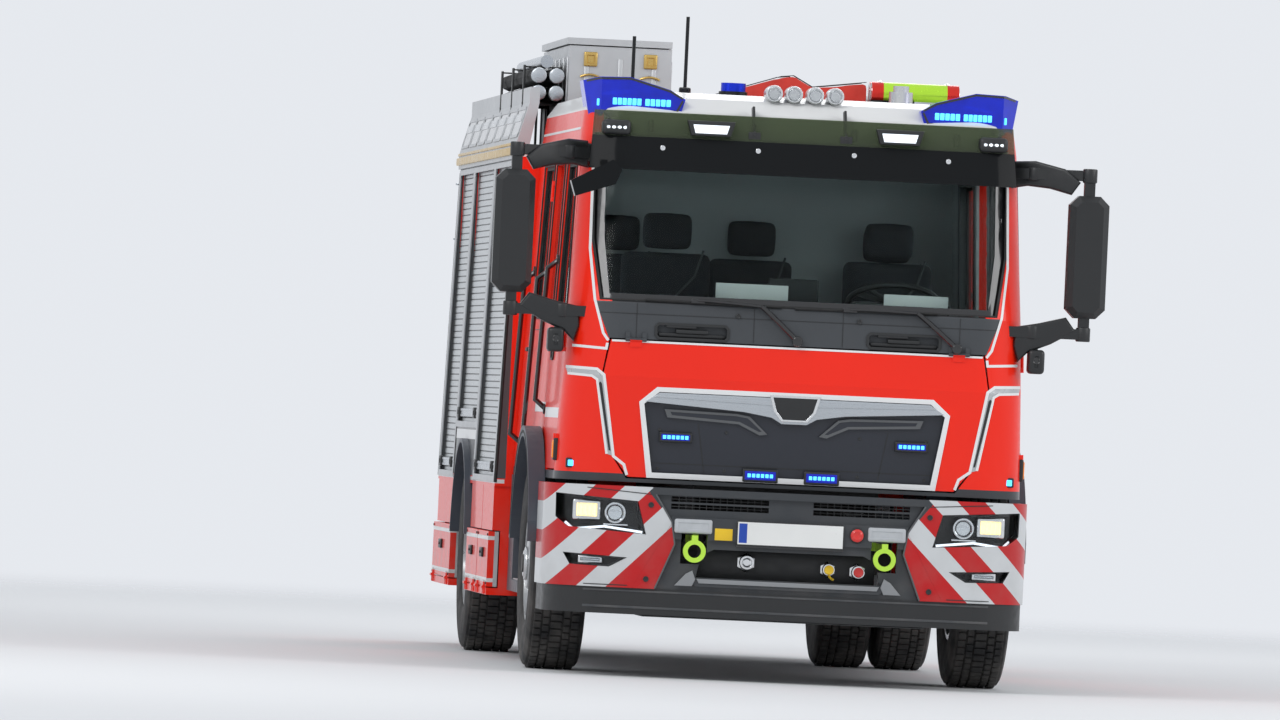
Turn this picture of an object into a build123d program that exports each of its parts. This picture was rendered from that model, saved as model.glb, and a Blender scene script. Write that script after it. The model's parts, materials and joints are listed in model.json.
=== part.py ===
from build123d import *
import math
import os

# Two-axle fire engine with a crew cab and a locker body closed by roller shutters.
# +X is the vehicle's left, the front faces -Y, +Z is up. The origin is on the ground, in the middle.

# Overall sizes
length = 7850.0
wheelbase = 4250.0
front_overhang = 1400.0
mirror_span = 3040.0
roof_height = 2900.0
overall_height = 3220.0

# Places along the vehicle
front = -length / 2
rear = length / 2
front_axle_y = front + front_overhang
rear_axle_y = front_axle_y + wheelbase

# Wheels
tyre_radius = 522.0
tyre_width = 290.0
rim_radius = 286.0
bead_step = 28.0
bulge_radius = 400.0
shoulder_radius = 494.0
shoulder_step = 30.0
front_wheel_x = 1063.0
rear_outer_x = 1095.0
rear_inner_x = 775.0
kingpin_x = 850.0
kingpin_radius = 24.0
spindle_radius = 45.0
running_fit = 0.05

# Chassis
rail_x = 418.0
rail_width = 80.0
rail_height = 270.0
rail_top = 1030.0
rail_plate = 8.0
rail_start = front + 330.0
rail_end = rear - 120.0

# Cab
cab_half = 1160.0
cab_lean = 0.0433
cab_bottom = 960.0
cab_rear = front + 3230.0
cab_wall = 60.0
floor_top = 1240.0
floor_thickness = 60.0
cab_arch_radius = 650.0
door_gap = 8.0
door_bottom = 1000.0
door_top = 2610.0
belt_height = 1780.0
window_margin = 95.0
window_top = 2530.0
glass_depth = 20.0
glass_thickness = 6.0
front_door_start = front + 330.0
front_door_end = front + 1280.0
crew_door_start = front + 2020.0
crew_door_end = front + 2880.0
pillar_slant = 150.0

# Front panel
flap_bottom = 978.0
flap_top = 1666.0
flap_half_bottom = 815.0
flap_knee = 1084.0
flap_half_knee = 890.0
flap_shoulder = 1490.0
flap_half_shoulder = 960.0
flap_half_top = 930.0
flap_hinge_x = 800.0
grille_bottom = 985.0
grille_half_bottom = 715.0
grille_shoulder = 1358.0
grille_half = 770.0
grille_top = 1434.0
grille_half_top = 684.0
grille_frame = 27.0
grille_field_depth = 24.0
grille_wing_depth = 12.0
grille_bar_depth = 3.0
badge_depth = -6.0
cowl_top = 1846.0
cowl_half_bottom = 935.0
cowl_half_top = 1005.0
recess_x = (345.0, 700.0)
recess_z = (1678.0, 1742.0)
screen_bottom = 1852.0
screen_top = 2680.0
screen_half_bottom = 985.0
screen_knee = 2150.0
screen_half = 1030.0

# Bumper
bumper_half = 1200.0
bumper_top = 940.0
bumper_bottom = 440.0
bumper_wall = 60.0
bumper_recess = 22.0
bar_z = (690.0, 800.0)
bar_half = 585.0
intake_x = (110.0, 590.0)
intake_rows = ((838.0, 864.0), (874.0, 900.0))
bumper_end = front + 740.0
bumper_corner_y = front + 360.0
bumper_shoulder = 930.0
bumper_shoulder_y = front + 75.0
skirt_bottom = 310.0
skirt_inset = 12.0

# Locker body
body_half = 1250.0
body_lean = 0.0265
body_front = front + 3262.0
body_bottom = 890.0
body_top = 2600.0
body_wall = 50.0
body_floor = 1070.0
body_split = 1180.0
tunnel_half = 520.0
rear_arch_radius = 600.0
shutter_thickness = 24.0
shutter_inset = 22.0
shutter_top = 2560.0
slat_pitch = 33.0
slat_joint = 3.0
locker_bottom = 330.0
locker_back_x = 820.0
locker_wall = 30.0
flap_gap = 6.0
step_flap_top = 656.0
step_flap_bottom = 372.0
step_flap_thickness = 54.0
step_stand = 18.0
sill_top = 366.0

# Hinges
hinge_pin = 5.0
hinge_radius = 9.0
hinge_leaf = 36.0
hinge_ear = 22.0
hinge_half = 30.0
hinge_sink = 8.0
hinge_stand = 8.7

# Roof
gallery_top = 2870.0
rail_bottom = 2580.0
roof_box_wall = 25.0
lid_gap = 6.0
ladder_middle = 650.0
ladder_half = 230.0
ladder_bottom = 2960.0
ladder_depth = 80.0
ladder_tail = 160.0
rungs = 11


def cab_side(height):
    """Half width of the cab at a height: the sides lean in as they rise."""
    return cab_half - (height - cab_bottom) * cab_lean


def body_side(height):
    """Half width of the locker body at a height."""
    return body_half - (height - body_bottom) * body_lean


def block(x, y, z):
    """Box between two places on each axis."""
    with BuildPart() as box:
        with Locations(((x[0] + x[1]) / 2, (y[0] + y[1]) / 2, (z[0] + z[1]) / 2)):
            Box(abs(x[1] - x[0]), abs(y[1] - y[0]), abs(z[1] - z[0]))
    return box.part


def across(side, inner, outer):
    """Places across the vehicle on one side of it, from inner to outer."""
    return (side * inner, side * outer)


def side_prism(outline, side, inner, outer):
    """Outline of (y, z) points, pushed across the vehicle from inner to outer on one side."""
    with BuildPart() as prism:
        with BuildSketch(Plane.YZ.offset(side * inner)):
            with BuildLine():
                Polyline(outline, close=True)
            make_face()
        extrude(amount=side * (outer - inner))
    return prism.part


def front_prism(outline, start, end):
    """Outline of (x, z) points, pushed along the vehicle from start to end."""
    with BuildPart() as prism:
        with BuildSketch(Plane.XZ.offset(-start)):
            with BuildLine():
                Polyline(outline, close=True)
            make_face()
        extrude(amount=start - end)
    return prism.part


def plan_prism(outline, bottom, top):
    """Outline of (x, y) points, raised from bottom to top."""
    with BuildPart() as prism:
        with BuildSketch(Plane.XY.offset(bottom)):
            with BuildLine():
                Polyline(outline, close=True)
            make_face()
        extrude(amount=top - bottom)
    return prism.part


def both_sides(piece):
    """A right-hand piece and its mirror image on the left."""
    with BuildPart() as pair:
        add(piece)
        mirror(piece, about=Plane.YZ)
    return pair.part


def hinge(origin, outward, along, side, half):
    """Two-eared hinge about an axis: the fixed ears with their pin, and the barrel that turns on it.

    outward points away from the panel's face; side tells on which side of the axis the panel lies.
    """
    plane = Plane(origin=origin, x_dir=outward, z_dir=along)
    with BuildPart() as fixed:
        with BuildSketch(plane.offset(-half - hinge_ear)):
            Circle(hinge_pin)
        extrude(amount=2 * (half + hinge_ear))
        for start in (-half - hinge_ear, half):
            with BuildSketch(plane.offset(start)):
                Circle(hinge_radius)
                with Locations((-(hinge_radius + hinge_sink) / 2, -side * hinge_leaf / 2)):
                    Rectangle(hinge_radius + hinge_sink, hinge_leaf)
            extrude(amount=hinge_ear)
    with BuildPart() as moving:
        with BuildSketch(plane.offset(-half + 0.5)):
            Circle(hinge_radius)
            with Locations((-hinge_radius / 2, side * hinge_leaf / 2)):
                Rectangle(hinge_radius, hinge_leaf)
            Circle(hinge_pin + running_fit, mode=Mode.SUBTRACT)
        extrude(amount=2 * half - 1.0)
    return fixed.part, moving.part


def save(piece, name):
    """Label a finished piece and write it to its own file."""
    piece.label = name
    export_step(piece, f"parts/{name}.step")


def cab_form(inset, bottom):
    """Closed outer form of the cab, drawn in by inset, from bottom up to the roof."""
    # columns: height, extra half-width loss at the roof shoulder, front face behind the nose, corner radius
    sections = [
        (bottom, 0.0, 120.0, 240.0),
        (1480.0, 0.0, 72.0, 240.0),
        (1840.0, 0.0, 95.0, 240.0),
        (2660.0, 0.0, 330.0, 230.0),
        (2800.0, 12.0, 400.0, 225.0),
        (2870.0, 60.0, 500.0, 220.0),
        (roof_height, 150.0, 640.0, 210.0),
    ]
    with BuildPart() as form:
        for height, loss, nose, radius in sections:
            if height > 2700.0:
                height -= inset
            half = cab_side(height) - loss - inset
            face = front + nose + inset
            corner = radius - inset
            with BuildSketch(Plane.XY.offset(height)):
                with BuildLine():
                    Line((half, cab_rear - max(inset, 0.0)), (-half, cab_rear - max(inset, 0.0)))
                    Line((-half, cab_rear - max(inset, 0.0)), (-half, face + corner))
                    RadiusArc((-half, face + corner), (-half + corner, face), -corner)
                    Line((-half + corner, face), (half - corner, face))
                    RadiusArc((half - corner, face), (half, face + corner), -corner)
                    Line((half, face + corner), (half, cab_rear - max(inset, 0.0)))
                make_face()
        loft(ruled=True)
    return form.part


def arch_point(centre_y, radius, y):
    """Height of a wheel arch over a place along the vehicle."""
    return tyre_radius + math.sqrt(radius**2 - (y - centre_y) ** 2)


def front_door_outline(gap):
    """Side outline of a front door, drawn in by gap; its rear lower corner follows the wheel arch."""
    arch = cab_arch_radius + 45.0 + gap
    start = front_door_start + gap
    end = front_door_end - gap
    bottom = door_bottom + gap
    corner = front_axle_y - math.sqrt(arch**2 - (bottom - tyre_radius) ** 2)
    steps = 5
    curve = [corner + (end - corner) * i / steps for i in range(steps + 1)]
    return (
        [(start, bottom)]
        + [(y, arch_point(front_axle_y, arch, y)) for y in curve]
        + [(end, door_top - gap), (start + pillar_slant, door_top - gap), (start, belt_height + 60.0)]
    )


def crew_door_outline(gap):
    """Side outline of a crew door, drawn in by gap."""
    start = crew_door_start + gap
    end = crew_door_end - gap
    return [
        (start, door_bottom + gap),
        (end, door_bottom + gap),
        (end, door_top - gap),
        (start, door_top - gap),
    ]


front_window = [
    (front_door_start + window_margin, belt_height),
    (front_door_end - window_margin, belt_height),
    (front_door_end - window_margin, window_top),
    (front_door_start + window_margin + pillar_slant, window_top),
    (front_door_start + window_margin, belt_height + 130.0),
]
crew_window = [
    (crew_door_start + window_margin, belt_height),
    (crew_door_end - window_margin, belt_height),
    (crew_door_end - window_margin, window_top),
    (crew_door_start + window_margin, window_top),
]
middle_window = [
    (front_door_end + 90.0, belt_height),
    (crew_door_start - 90.0, belt_height),
    (crew_door_start - 90.0, window_top),
    (front_door_end + 90.0, window_top),
]


def mirrored(points):
    """Closed outline from the points of its right half, from the lower middle to the upper middle."""
    return points + [(-x, z) for x, z in reversed(points) if x > 0]


screen_outline = mirrored([
    (screen_half_bottom, screen_bottom),
    (screen_half, screen_knee),
    (screen_half, screen_top),
])


def flap_outline(gap):
    """Front outline of the service flap, drawn in by gap."""
    return mirrored([
        (flap_half_bottom - gap, flap_bottom + gap),
        (flap_half_knee - gap, flap_knee),
        (flap_half_shoulder - gap, flap_shoulder),
        (flap_half_top - gap, flap_top - gap),
    ])


def grille_outline(inset):
    """Front outline of the grille, drawn in by inset."""
    return mirrored([
        (grille_half_bottom - inset, grille_bottom + inset),
        (grille_half - inset, grille_shoulder - inset / 3),
        (grille_half_top - inset / 2, grille_top - inset),
    ])




# Silver bar under the grille's top edge, stepping down round the badge place
bar_outline = mirrored([
    (75.0, 1277.0), (118.0, 1306.0), (256.0, 1327.0), (grille_half - grille_frame, grille_shoulder),
    (grille_half_top - 14.0, grille_top - grille_frame),
])
badge_outline = mirrored([(64.0, 1294.0), (102.0, 1340.0), (122.0, 1418.0)])
# Wing-shaped relief that slopes from the sides to a V under the badge place
wing_outline = [
    (644.0, 1330.0), (628.0, 1284.0), (272.0, 1266.0), (165.0, 1215.0),
    (125.0, 1222.0), (219.0, 1312.0), (281.0, 1322.0),
]
cowl_outline = mirrored([(cowl_half_bottom, flap_top), (cowl_half_top, cowl_top)])

os.makedirs("parts", exist_ok=True)

# Chassis frame: two channel rails and their cross members
with BuildPart() as chassis_frame:
    with BuildSketch(Plane.XZ.offset(-rail_start)):
        with Locations((rail_x, rail_top - rail_height / 2)):
            Rectangle(rail_width, rail_height)
        with Locations((rail_x - rail_plate / 2, rail_top - rail_height / 2)):
            Rectangle(rail_width - rail_plate, rail_height - 2 * rail_plate, mode=Mode.SUBTRACT)
    extrude(amount=rail_start - rail_end)
    mirror(about=Plane.YZ)
    member_half = rail_x + rail_width / 2 - rail_plate
    member_places = [rail_start + place for place in (60.0, 2400.0, 3400.0, 4700.0, 6300.0)]
    for member_y in member_places + [rail_end - 85.0]:
        add(block((-member_half, member_half), (member_y - 45.0, member_y + 45.0), (905.0, 990.0)))
save(chassis_frame.part, "chassis_frame")

# Front axle: dropped beam with an eye and a kingpin at each end, on leaf springs
beam_z = 400.0
eye_half_height = 70.0
with BuildPart() as front_axle:
    beam_outline = [
        (-kingpin_x + 45.0, 470.0),
        (-620.0, beam_z - 45.0),
        (620.0, beam_z - 45.0),
        (kingpin_x - 45.0, 470.0),
        (kingpin_x - 45.0, 570.0),
        (600.0, beam_z + 55.0),
        (-600.0, beam_z + 55.0),
        (-kingpin_x + 45.0, 570.0),
    ]
    add(front_prism(beam_outline, front_axle_y - 45.0, front_axle_y + 45.0))
    with Locations((kingpin_x, front_axle_y, tyre_radius), (-kingpin_x, front_axle_y, tyre_radius)):
        Cylinder(52.0, 2 * eye_half_height)
        Cylinder(kingpin_radius, 270.0)
    for side in (-1, 1):
        add(block(across(side, rail_x - 45.0, rail_x + 45.0),
                  (front_axle_y - 70.0, front_axle_y + 70.0), (beam_z + 50.0, 575.0)))
        spring = [
            (front_axle_y - 780.0, 690.0), (front_axle_y - 350.0, 590.0), (front_axle_y, 565.0),
            (front_axle_y + 350.0, 590.0), (front_axle_y + 780.0, 690.0), (front_axle_y + 780.0, 725.0),
            (front_axle_y + 350.0, 640.0), (front_axle_y, 620.0), (front_axle_y - 350.0, 640.0),
            (front_axle_y - 780.0, 725.0),
        ]
        add(side_prism(spring, side, rail_x - 38.0, rail_x + 38.0))
        for end in (-1, 1):
            hanger_y = front_axle_y + end * 780.0
            add(block(across(side, rail_x - 38.0, rail_x + 38.0), (hanger_y - 45.0, hanger_y + 45.0),
                      (680.0, rail_top - rail_height)))
save(front_axle.part, "front_axle")

# Steering knuckles: two ears round the kingpin, a spindle for the hub and a steering arm
for side, name in ((1, "knuckle_left"), (-1, "knuckle_right")):
    with BuildPart() as knuckle:
        for ear in (-1, 1):
            with Locations((side * kingpin_x, front_axle_y, tyre_radius + ear * (eye_half_height + 33.0))):
                Cylinder(52.0, 50.0)
                Cylinder(kingpin_radius + running_fit, 50.0, mode=Mode.SUBTRACT)
        add(block(across(side, kingpin_x + 58.0, kingpin_x + 96.0),
                  (front_axle_y - 60.0, front_axle_y + 60.0), (tyre_radius - 128.0, tyre_radius + 128.0)))
        for ear in (-1, 1):
            ear_z = tyre_radius + ear * (eye_half_height + 33.0)
            add(block(across(side, kingpin_x + 35.0, kingpin_x + 60.0),
                      (front_axle_y - 35.0, front_axle_y + 35.0), (ear_z - 25.0, ear_z + 25.0)))
        with Locations(Location((side * (kingpin_x + 220.0), front_axle_y, tyre_radius), (0, 90, 0))):
            Cylinder(spindle_radius, 300.0)
        arm_z = tyre_radius - eye_half_height - 33.0
        add(block(across(side, kingpin_x - 20.0, kingpin_x + 20.0),
                  (front_axle_y + 45.0, front_axle_y + 260.0), (arm_z - 25.0, arm_z + 15.0)))
    save(knuckle.part, name)

# Rear axle: housing with a differential bowl, spindles for the hubs and leaf springs
with BuildPart() as rear_axle:
    with Locations(Location((0, rear_axle_y, tyre_radius), (0, 90, 0))):
        Cylinder(75.0, 1100.0)
        Cylinder(spindle_radius, 2300.0)
    with Locations((0, rear_axle_y, tyre_radius)):
        Sphere(215.0)
    with Locations(Location((0, rear_axle_y - 220.0, tyre_radius), (90, 0, 0))):
        Cone(110.0, 70.0, 200.0)
    for side in (-1, 1):
        add(block(across(side, rail_x - 48.0, rail_x + 48.0),
                  (rear_axle_y - 80.0, rear_axle_y + 80.0), (tyre_radius + 40.0, 640.0)))
        spring = [
            (rear_axle_y - 720.0, 690.0), (rear_axle_y, 620.0), (rear_axle_y + 720.0, 690.0),
            (rear_axle_y + 720.0, 720.0), (rear_axle_y, 720.0), (rear_axle_y - 720.0, 720.0),
        ]
        add(side_prism(spring, side, rail_x - 40.0, rail_x + 40.0))
        for end in (-1, 1):
            hanger_y = rear_axle_y + end * 720.0
            add(block(across(side, rail_x - 40.0, rail_x + 40.0), (hanger_y - 45.0, hanger_y + 45.0),
                      (690.0, rail_top - rail_height)))
save(rear_axle.part, "rear_axle")

# Engine block, gearbox and propeller shaft
with BuildPart() as powertrain:
    add(block((-330.0, 330.0), (front + 820.0, front + 1880.0), (700.0, 1150.0)))
    for side in (-1, 1):
        for mount_y in (front + 950.0, front + 1750.0):
            web_x = rail_x + rail_width / 2 - rail_plate
            add(block(across(side, 330.0, web_x), (mount_y - 40.0, mount_y + 40.0), (860.0, 900.0)))
    add(block((-230.0, 230.0), (front + 1880.0, front + 2560.0), (720.0, 1040.0)))
    shaft_start = Vector(0, front + 2560.0, 860.0)
    shaft_end = Vector(0, rear_axle_y - 332.0, tyre_radius)
    shaft_axis = shaft_end - shaft_start
    with BuildSketch(Plane(origin=shaft_start, z_dir=shaft_axis)):
        Circle(55.0)
    extrude(amount=shaft_axis.length)
save(powertrain.part, "powertrain")

# Fuel tank on the left, air tanks and silencer on the right, hung on the rails
with BuildPart() as tanks:
    tank_inner = rail_x + rail_width / 2
    add(block((tank_inner, locker_back_x - 20.0), (front + 3350.0, front + 4550.0), (480.0, 880.0)))
    with Locations(Location((-620.0, front + 3800.0, 700.0), (90, 0, 0))):
        Cylinder(145.0, 900.0)
    add(block((-tank_inner, -500.0), (front + 3700.0, front + 3900.0), (680.0, 780.0)))
    with Locations(Location((-640.0, front + 2500.0, 700.0), (90, 0, 0))):
        Cylinder(160.0, 700.0)
    add(block((-tank_inner, -520.0), (front + 2450.0, front + 2550.0), (760.0, 820.0)))
save(tanks.part, "tanks")

# Wheels: tyre and rim sections are revolved about the axle
def tyre_solid(centre_x, axle_y):
    """Closed ring of a tyre, with its bulged side walls."""
    half = tyre_width / 2
    with BuildPart() as tyre:
        with BuildSketch(Plane(origin=(centre_x, axle_y, tyre_radius), x_dir=(1, 0, 0), z_dir=(0, -1, 0))):
            with BuildLine():
                Polyline(
                    (-half + bead_step, rim_radius), (half - bead_step, rim_radius), (half, bulge_radius),
                    (half - 8.0, shoulder_radius), (half - shoulder_step, tyre_radius),
                    (-half + shoulder_step, tyre_radius), (-half + 8.0, shoulder_radius),
                    (-half, bulge_radius), close=True,
                )
            make_face()
        revolve(axis=Axis((centre_x, axle_y, tyre_radius), (1, 0, 0)))
    return tyre.part


def rim_solid(side, centre_x, axle_y, dish, hub_length):
    """Rim barrel with its disc; dish is how far the disc lies outside the tyre's middle."""
    half = tyre_width / 2 - 20.0
    with BuildPart() as rim:
        plane = Plane(origin=(centre_x, axle_y, tyre_radius), x_dir=(side, 0, 0), z_dir=(0, -side, 0))
        with BuildSketch(plane):
            with BuildLine():
                Polyline(
                    (-half, rim_radius - 0.3), (half, rim_radius - 0.3), (half, 262), (60, 250),
                    (dish + 12, 225), (dish + 12, 150), (dish + hub_length, 120), (dish + hub_length, 80),
                    (dish + 20, spindle_radius + running_fit), (dish - 60, spindle_radius + running_fit),
                    (dish - 60, 120), (dish - 12, 140), (dish - 12, 240), (-half, 262), close=True,
                )
            make_face()
        revolve(axis=Axis((centre_x, axle_y, tyre_radius), (1, 0, 0)))
        with Locations(Location((centre_x, axle_y, tyre_radius), (0, 90, 0))):
            with PolarLocations(190.0, 10):
                Cylinder(24.0, 400.0, mode=Mode.SUBTRACT)
    return rim.part


for side, hand in ((1, "left"), (-1, "right")):
    save(tyre_solid(side * front_wheel_x, front_axle_y), f"tyre_front_{hand}")
    save(rim_solid(side, side * front_wheel_x, front_axle_y, 70.0, 60.0), f"rim_front_{hand}")
    with BuildPart() as rear_tyres:
        add(tyre_solid(side * rear_outer_x, rear_axle_y))
        add(tyre_solid(side * rear_inner_x, rear_axle_y))
    save(rear_tyres.part, f"tyres_rear_{hand}")
    with BuildPart() as rear_rims:
        add(rim_solid(side, side * rear_outer_x, rear_axle_y, -60.0, 110.0))
        add(rim_solid(side, side * rear_inner_x, rear_axle_y, 60.0, 100.0))
        hub_ends = across(side, rear_inner_x + 60.0, rear_outer_x - 60.0)
        with Locations(Location((sum(hub_ends) / 2, rear_axle_y, tyre_radius), (0, 90, 0))):
            Cylinder(120.0, abs(hub_ends[1] - hub_ends[0]))
            Cylinder(spindle_radius + running_fit, abs(hub_ends[1] - hub_ends[0]), mode=Mode.SUBTRACT)
    save(rear_rims.part, f"rims_rear_{hand}")

# Cab forms: the outer skin as thick as a door, and the shell in which the glass lies
with BuildPart() as cab_skin:
    add(cab_form(0.0, cab_bottom))
    add(cab_form(cab_wall, cab_bottom - 10.0), mode=Mode.SUBTRACT)
with BuildPart() as glass_skin:
    add(cab_form(glass_depth, cab_bottom))
    add(cab_form(glass_depth + glass_thickness, cab_bottom - 10.0), mode=Mode.SUBTRACT)

window_reach = (cab_half - 150.0, cab_half + 60.0)


def door_hinges(side, start, heights):
    """Hinges of a cab door at its front edge, on the leaning side: fixed ears and moving barrels."""
    outward = Vector(side, 0, cab_lean).normalized()
    along = Vector(-side * cab_lean, 0, 1).normalized()
    pairs = []
    for height in heights:
        seat = Vector(side * cab_side(height), start + door_gap / 2, height)
        pairs.append(hinge(seat + outward * hinge_stand, outward, along, side, hinge_half))
    return [pair[0] for pair in pairs], [pair[1] for pair in pairs]


front_hinge_heights = (1130.0, 1640.0)
crew_hinge_heights = (1150.0, 2400.0)

# Cab shell: skin with its openings, floor and engine hump
with BuildPart() as cab_shell:
    add(cab_skin.part)
    for side in (-1, 1):
        add(side_prism(front_door_outline(0.0), side, *window_reach), mode=Mode.SUBTRACT)
        add(side_prism(crew_door_outline(0.0), side, *window_reach), mode=Mode.SUBTRACT)
        add(side_prism(middle_window, side, *window_reach), mode=Mode.SUBTRACT)
    add(front_prism(screen_outline, front, front + 620.0), mode=Mode.SUBTRACT)
    add(front_prism(flap_outline(0.0), front, front + 420.0), mode=Mode.SUBTRACT)
    add(front_prism(cowl_outline, front, front + 420.0), mode=Mode.SUBTRACT)
    with Locations(Location((0, front_axle_y, tyre_radius), (0, 90, 0))):
        Cylinder(cab_arch_radius, 2 * cab_half + 100.0, mode=Mode.SUBTRACT)
    with BuildPart(mode=Mode.PRIVATE) as cab_floor:
        add(cab_form(cab_wall, cab_bottom))
        add(block((-cab_half, cab_half), (front, cab_rear), (floor_top - floor_thickness, floor_top)),
            mode=Mode.INTERSECT)
        notch = cab_side(floor_top) - cab_wall - 14.0
        for side in (-1, 1):
            for start, end in ((front_door_start, front_door_end), (crew_door_start, crew_door_end)):
                add(block(across(side, notch, cab_half), (start - 10.0, end + 10.0), (1000.0, 1400.0)),
                    mode=Mode.SUBTRACT)
    add(cab_floor.part)
    add(block((-480.0, 480.0), (front + 250.0, cab_rear + 10.0), (cab_bottom - 10.0, rail_top + 15.0)),
        mode=Mode.SUBTRACT)
    for side in (-1, 1):
        for mount_y in (front + 480.0, cab_rear - 160.0):
            add(block(across(side, rail_x - 35.0, rail_x + 35.0), (mount_y - 50.0, mount_y + 50.0),
                      (rail_top, floor_top - floor_thickness)))
    for side in (-1, 1):
        add(door_hinges(side, front_door_start, front_hinge_heights)[0])
        add(door_hinges(side, crew_door_start, crew_hinge_heights)[0])
    add(block((-360.0, 360.0), (front + 500.0, front + 1900.0), (floor_top, floor_top + 130.0)))
    add(block((-300.0, 300.0), (front + 560.0, front + 1840.0), (floor_top - 80.0, floor_top + 90.0)),
        mode=Mode.SUBTRACT)
save(cab_shell.part, "cab_shell")

# Windscreen and the fixed windows between the doors
with BuildPart() as cab_glass:
    add(glass_skin.part)
    with BuildPart(mode=Mode.PRIVATE) as panes:
        add(front_prism(screen_outline, front, front + 620.0))
        for side in (-1, 1):
            add(side_prism(middle_window, side, *window_reach))
    add(panes.part, mode=Mode.INTERSECT)
save(cab_glass.part, "cab_glass")

# Doors and their windows
# columns: name, outline, window outline, start along the vehicle, heights of its hinges
doors = [
    ("front", front_door_outline(door_gap), front_window, front_door_start, front_hinge_heights),
    ("crew", crew_door_outline(door_gap), crew_window, crew_door_start, crew_hinge_heights),
]
for side, hand in ((1, "left"), (-1, "right")):
    for place, outline, window, start, heights in doors:
        with BuildPart() as door:
            add(cab_skin.part)
            add(side_prism(outline, side, *window_reach), mode=Mode.INTERSECT)
            add(side_prism(window, side, *window_reach), mode=Mode.SUBTRACT)
            add(door_hinges(side, start, heights)[1])
        save(door.part, f"door_{place}_{hand}")
        with BuildPart() as pane:
            add(glass_skin.part)
            add(side_prism(window, side, *window_reach), mode=Mode.INTERSECT)
        save(pane.part, f"glass_{place}_{hand}")

# Service flap in the front, with the grille in its opening
flap_axis_y = front + 83.6 - hinge_stand
flap_axis_z = flap_top - door_gap / 2
flap_hinges = [
    hinge((centre, flap_axis_y, flap_axis_z), (0, -1, 0), (1, 0, 0), 1, hinge_half)
    for centre in (-flap_hinge_x, flap_hinge_x)
]
panel_back = front + 420.0
with BuildPart() as front_flap:
    add(cab_skin.part)
    add(front_prism(flap_outline(door_gap), front, panel_back), mode=Mode.INTERSECT)
    add(front_prism(grille_outline(0.0), front, panel_back), mode=Mode.SUBTRACT)
    add([pair[1] for pair in flap_hinges])
save(front_flap.part, "front_flap")


def relief(depth, outline):
    """Part of the front panel inside an outline whose face lies at a depth behind the cab's skin."""
    with BuildPart() as part:
        add(cab_form(depth, cab_bottom))
        add(cab_form(cab_wall, cab_bottom - 10.0), mode=Mode.SUBTRACT)
        add(front_prism(outline, front - 50.0, panel_back), mode=Mode.INTERSECT)
    return part.part


# Moulded grille: raised frame, closed sunk field, wings in relief, silver bar and a blank badge place
with BuildPart() as grille:
    add(relief(0.0, grille_outline(0.0)))
    add(front_prism(grille_outline(grille_frame), front - 50.0, panel_back), mode=Mode.SUBTRACT)
    add(relief(grille_field_depth, grille_outline(grille_frame)))
    add(relief(grille_wing_depth, wing_outline))
    add(relief(grille_wing_depth, [(-x, z) for x, z in wing_outline]))
    add(relief(grille_bar_depth, bar_outline))
    add(relief(badge_depth, badge_outline))
save(grille.part, "grille")

# Cowl under the windscreen, with two hand recesses, and the hinges of the flap
with BuildPart() as cowl:
    add(cab_skin.part)
    add(front_prism(cowl_outline, front, panel_back), mode=Mode.INTERSECT)
    for side in (-1, 1):
        add(block(across(side, recess_x[0], recess_x[1]), (front, front + 120.0), recess_z), mode=Mode.SUBTRACT)
    add([pair[0] for pair in flap_hinges])
save(cowl.part, "cowl")

# Sun visor in front of the windscreen's top on brackets, with the kerb mirror hung from its right end
visor_stand = 110.0
visor_sheet = 8.0
visor_outline = mirrored([(1060.0, 2500.0), (1040.0, 2790.0)])
kerb_mirror = [(-1160.0, 2430.0), (-956.0, 2542.0), (-909.0, 2494.0), (-940.0, 2421.0), (-1136.0, 2354.0)]
with BuildPart() as sun_visor:
    add(cab_form(-visor_stand - visor_sheet, cab_bottom))
    add(cab_form(-visor_stand, cab_bottom - 10.0), mode=Mode.SUBTRACT)
    add(front_prism(visor_outline, front - 200.0, panel_back), mode=Mode.INTERSECT)
    for centre in (-760.0, -250.0, 250.0, 760.0):
        with BuildPart(mode=Mode.PRIVATE) as bracket:
            add(cab_form(-visor_stand - visor_sheet / 2, cab_bottom))
            add(cab_form(0.0, cab_bottom - 10.0), mode=Mode.SUBTRACT)
            add(block((centre - 12.0, centre + 12.0), (front - 200.0, panel_back), (2690.0, 2750.0)),
                mode=Mode.INTERSECT)
        add(bracket.part)
    with BuildPart(mode=Mode.PRIVATE) as kerb_mirror_arm:
        add(block((-1010.0, -980.0), (front + 100.0, panel_back), (2505.0, 2540.0)))
        add(cab_form(-visor_stand - visor_sheet / 2, cab_bottom), mode=Mode.SUBTRACT)
    add(kerb_mirror_arm.part)
    add(front_prism(kerb_mirror, front + 30.0, front + 120.0))
save(sun_visor.part, "sun_visor")

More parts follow.
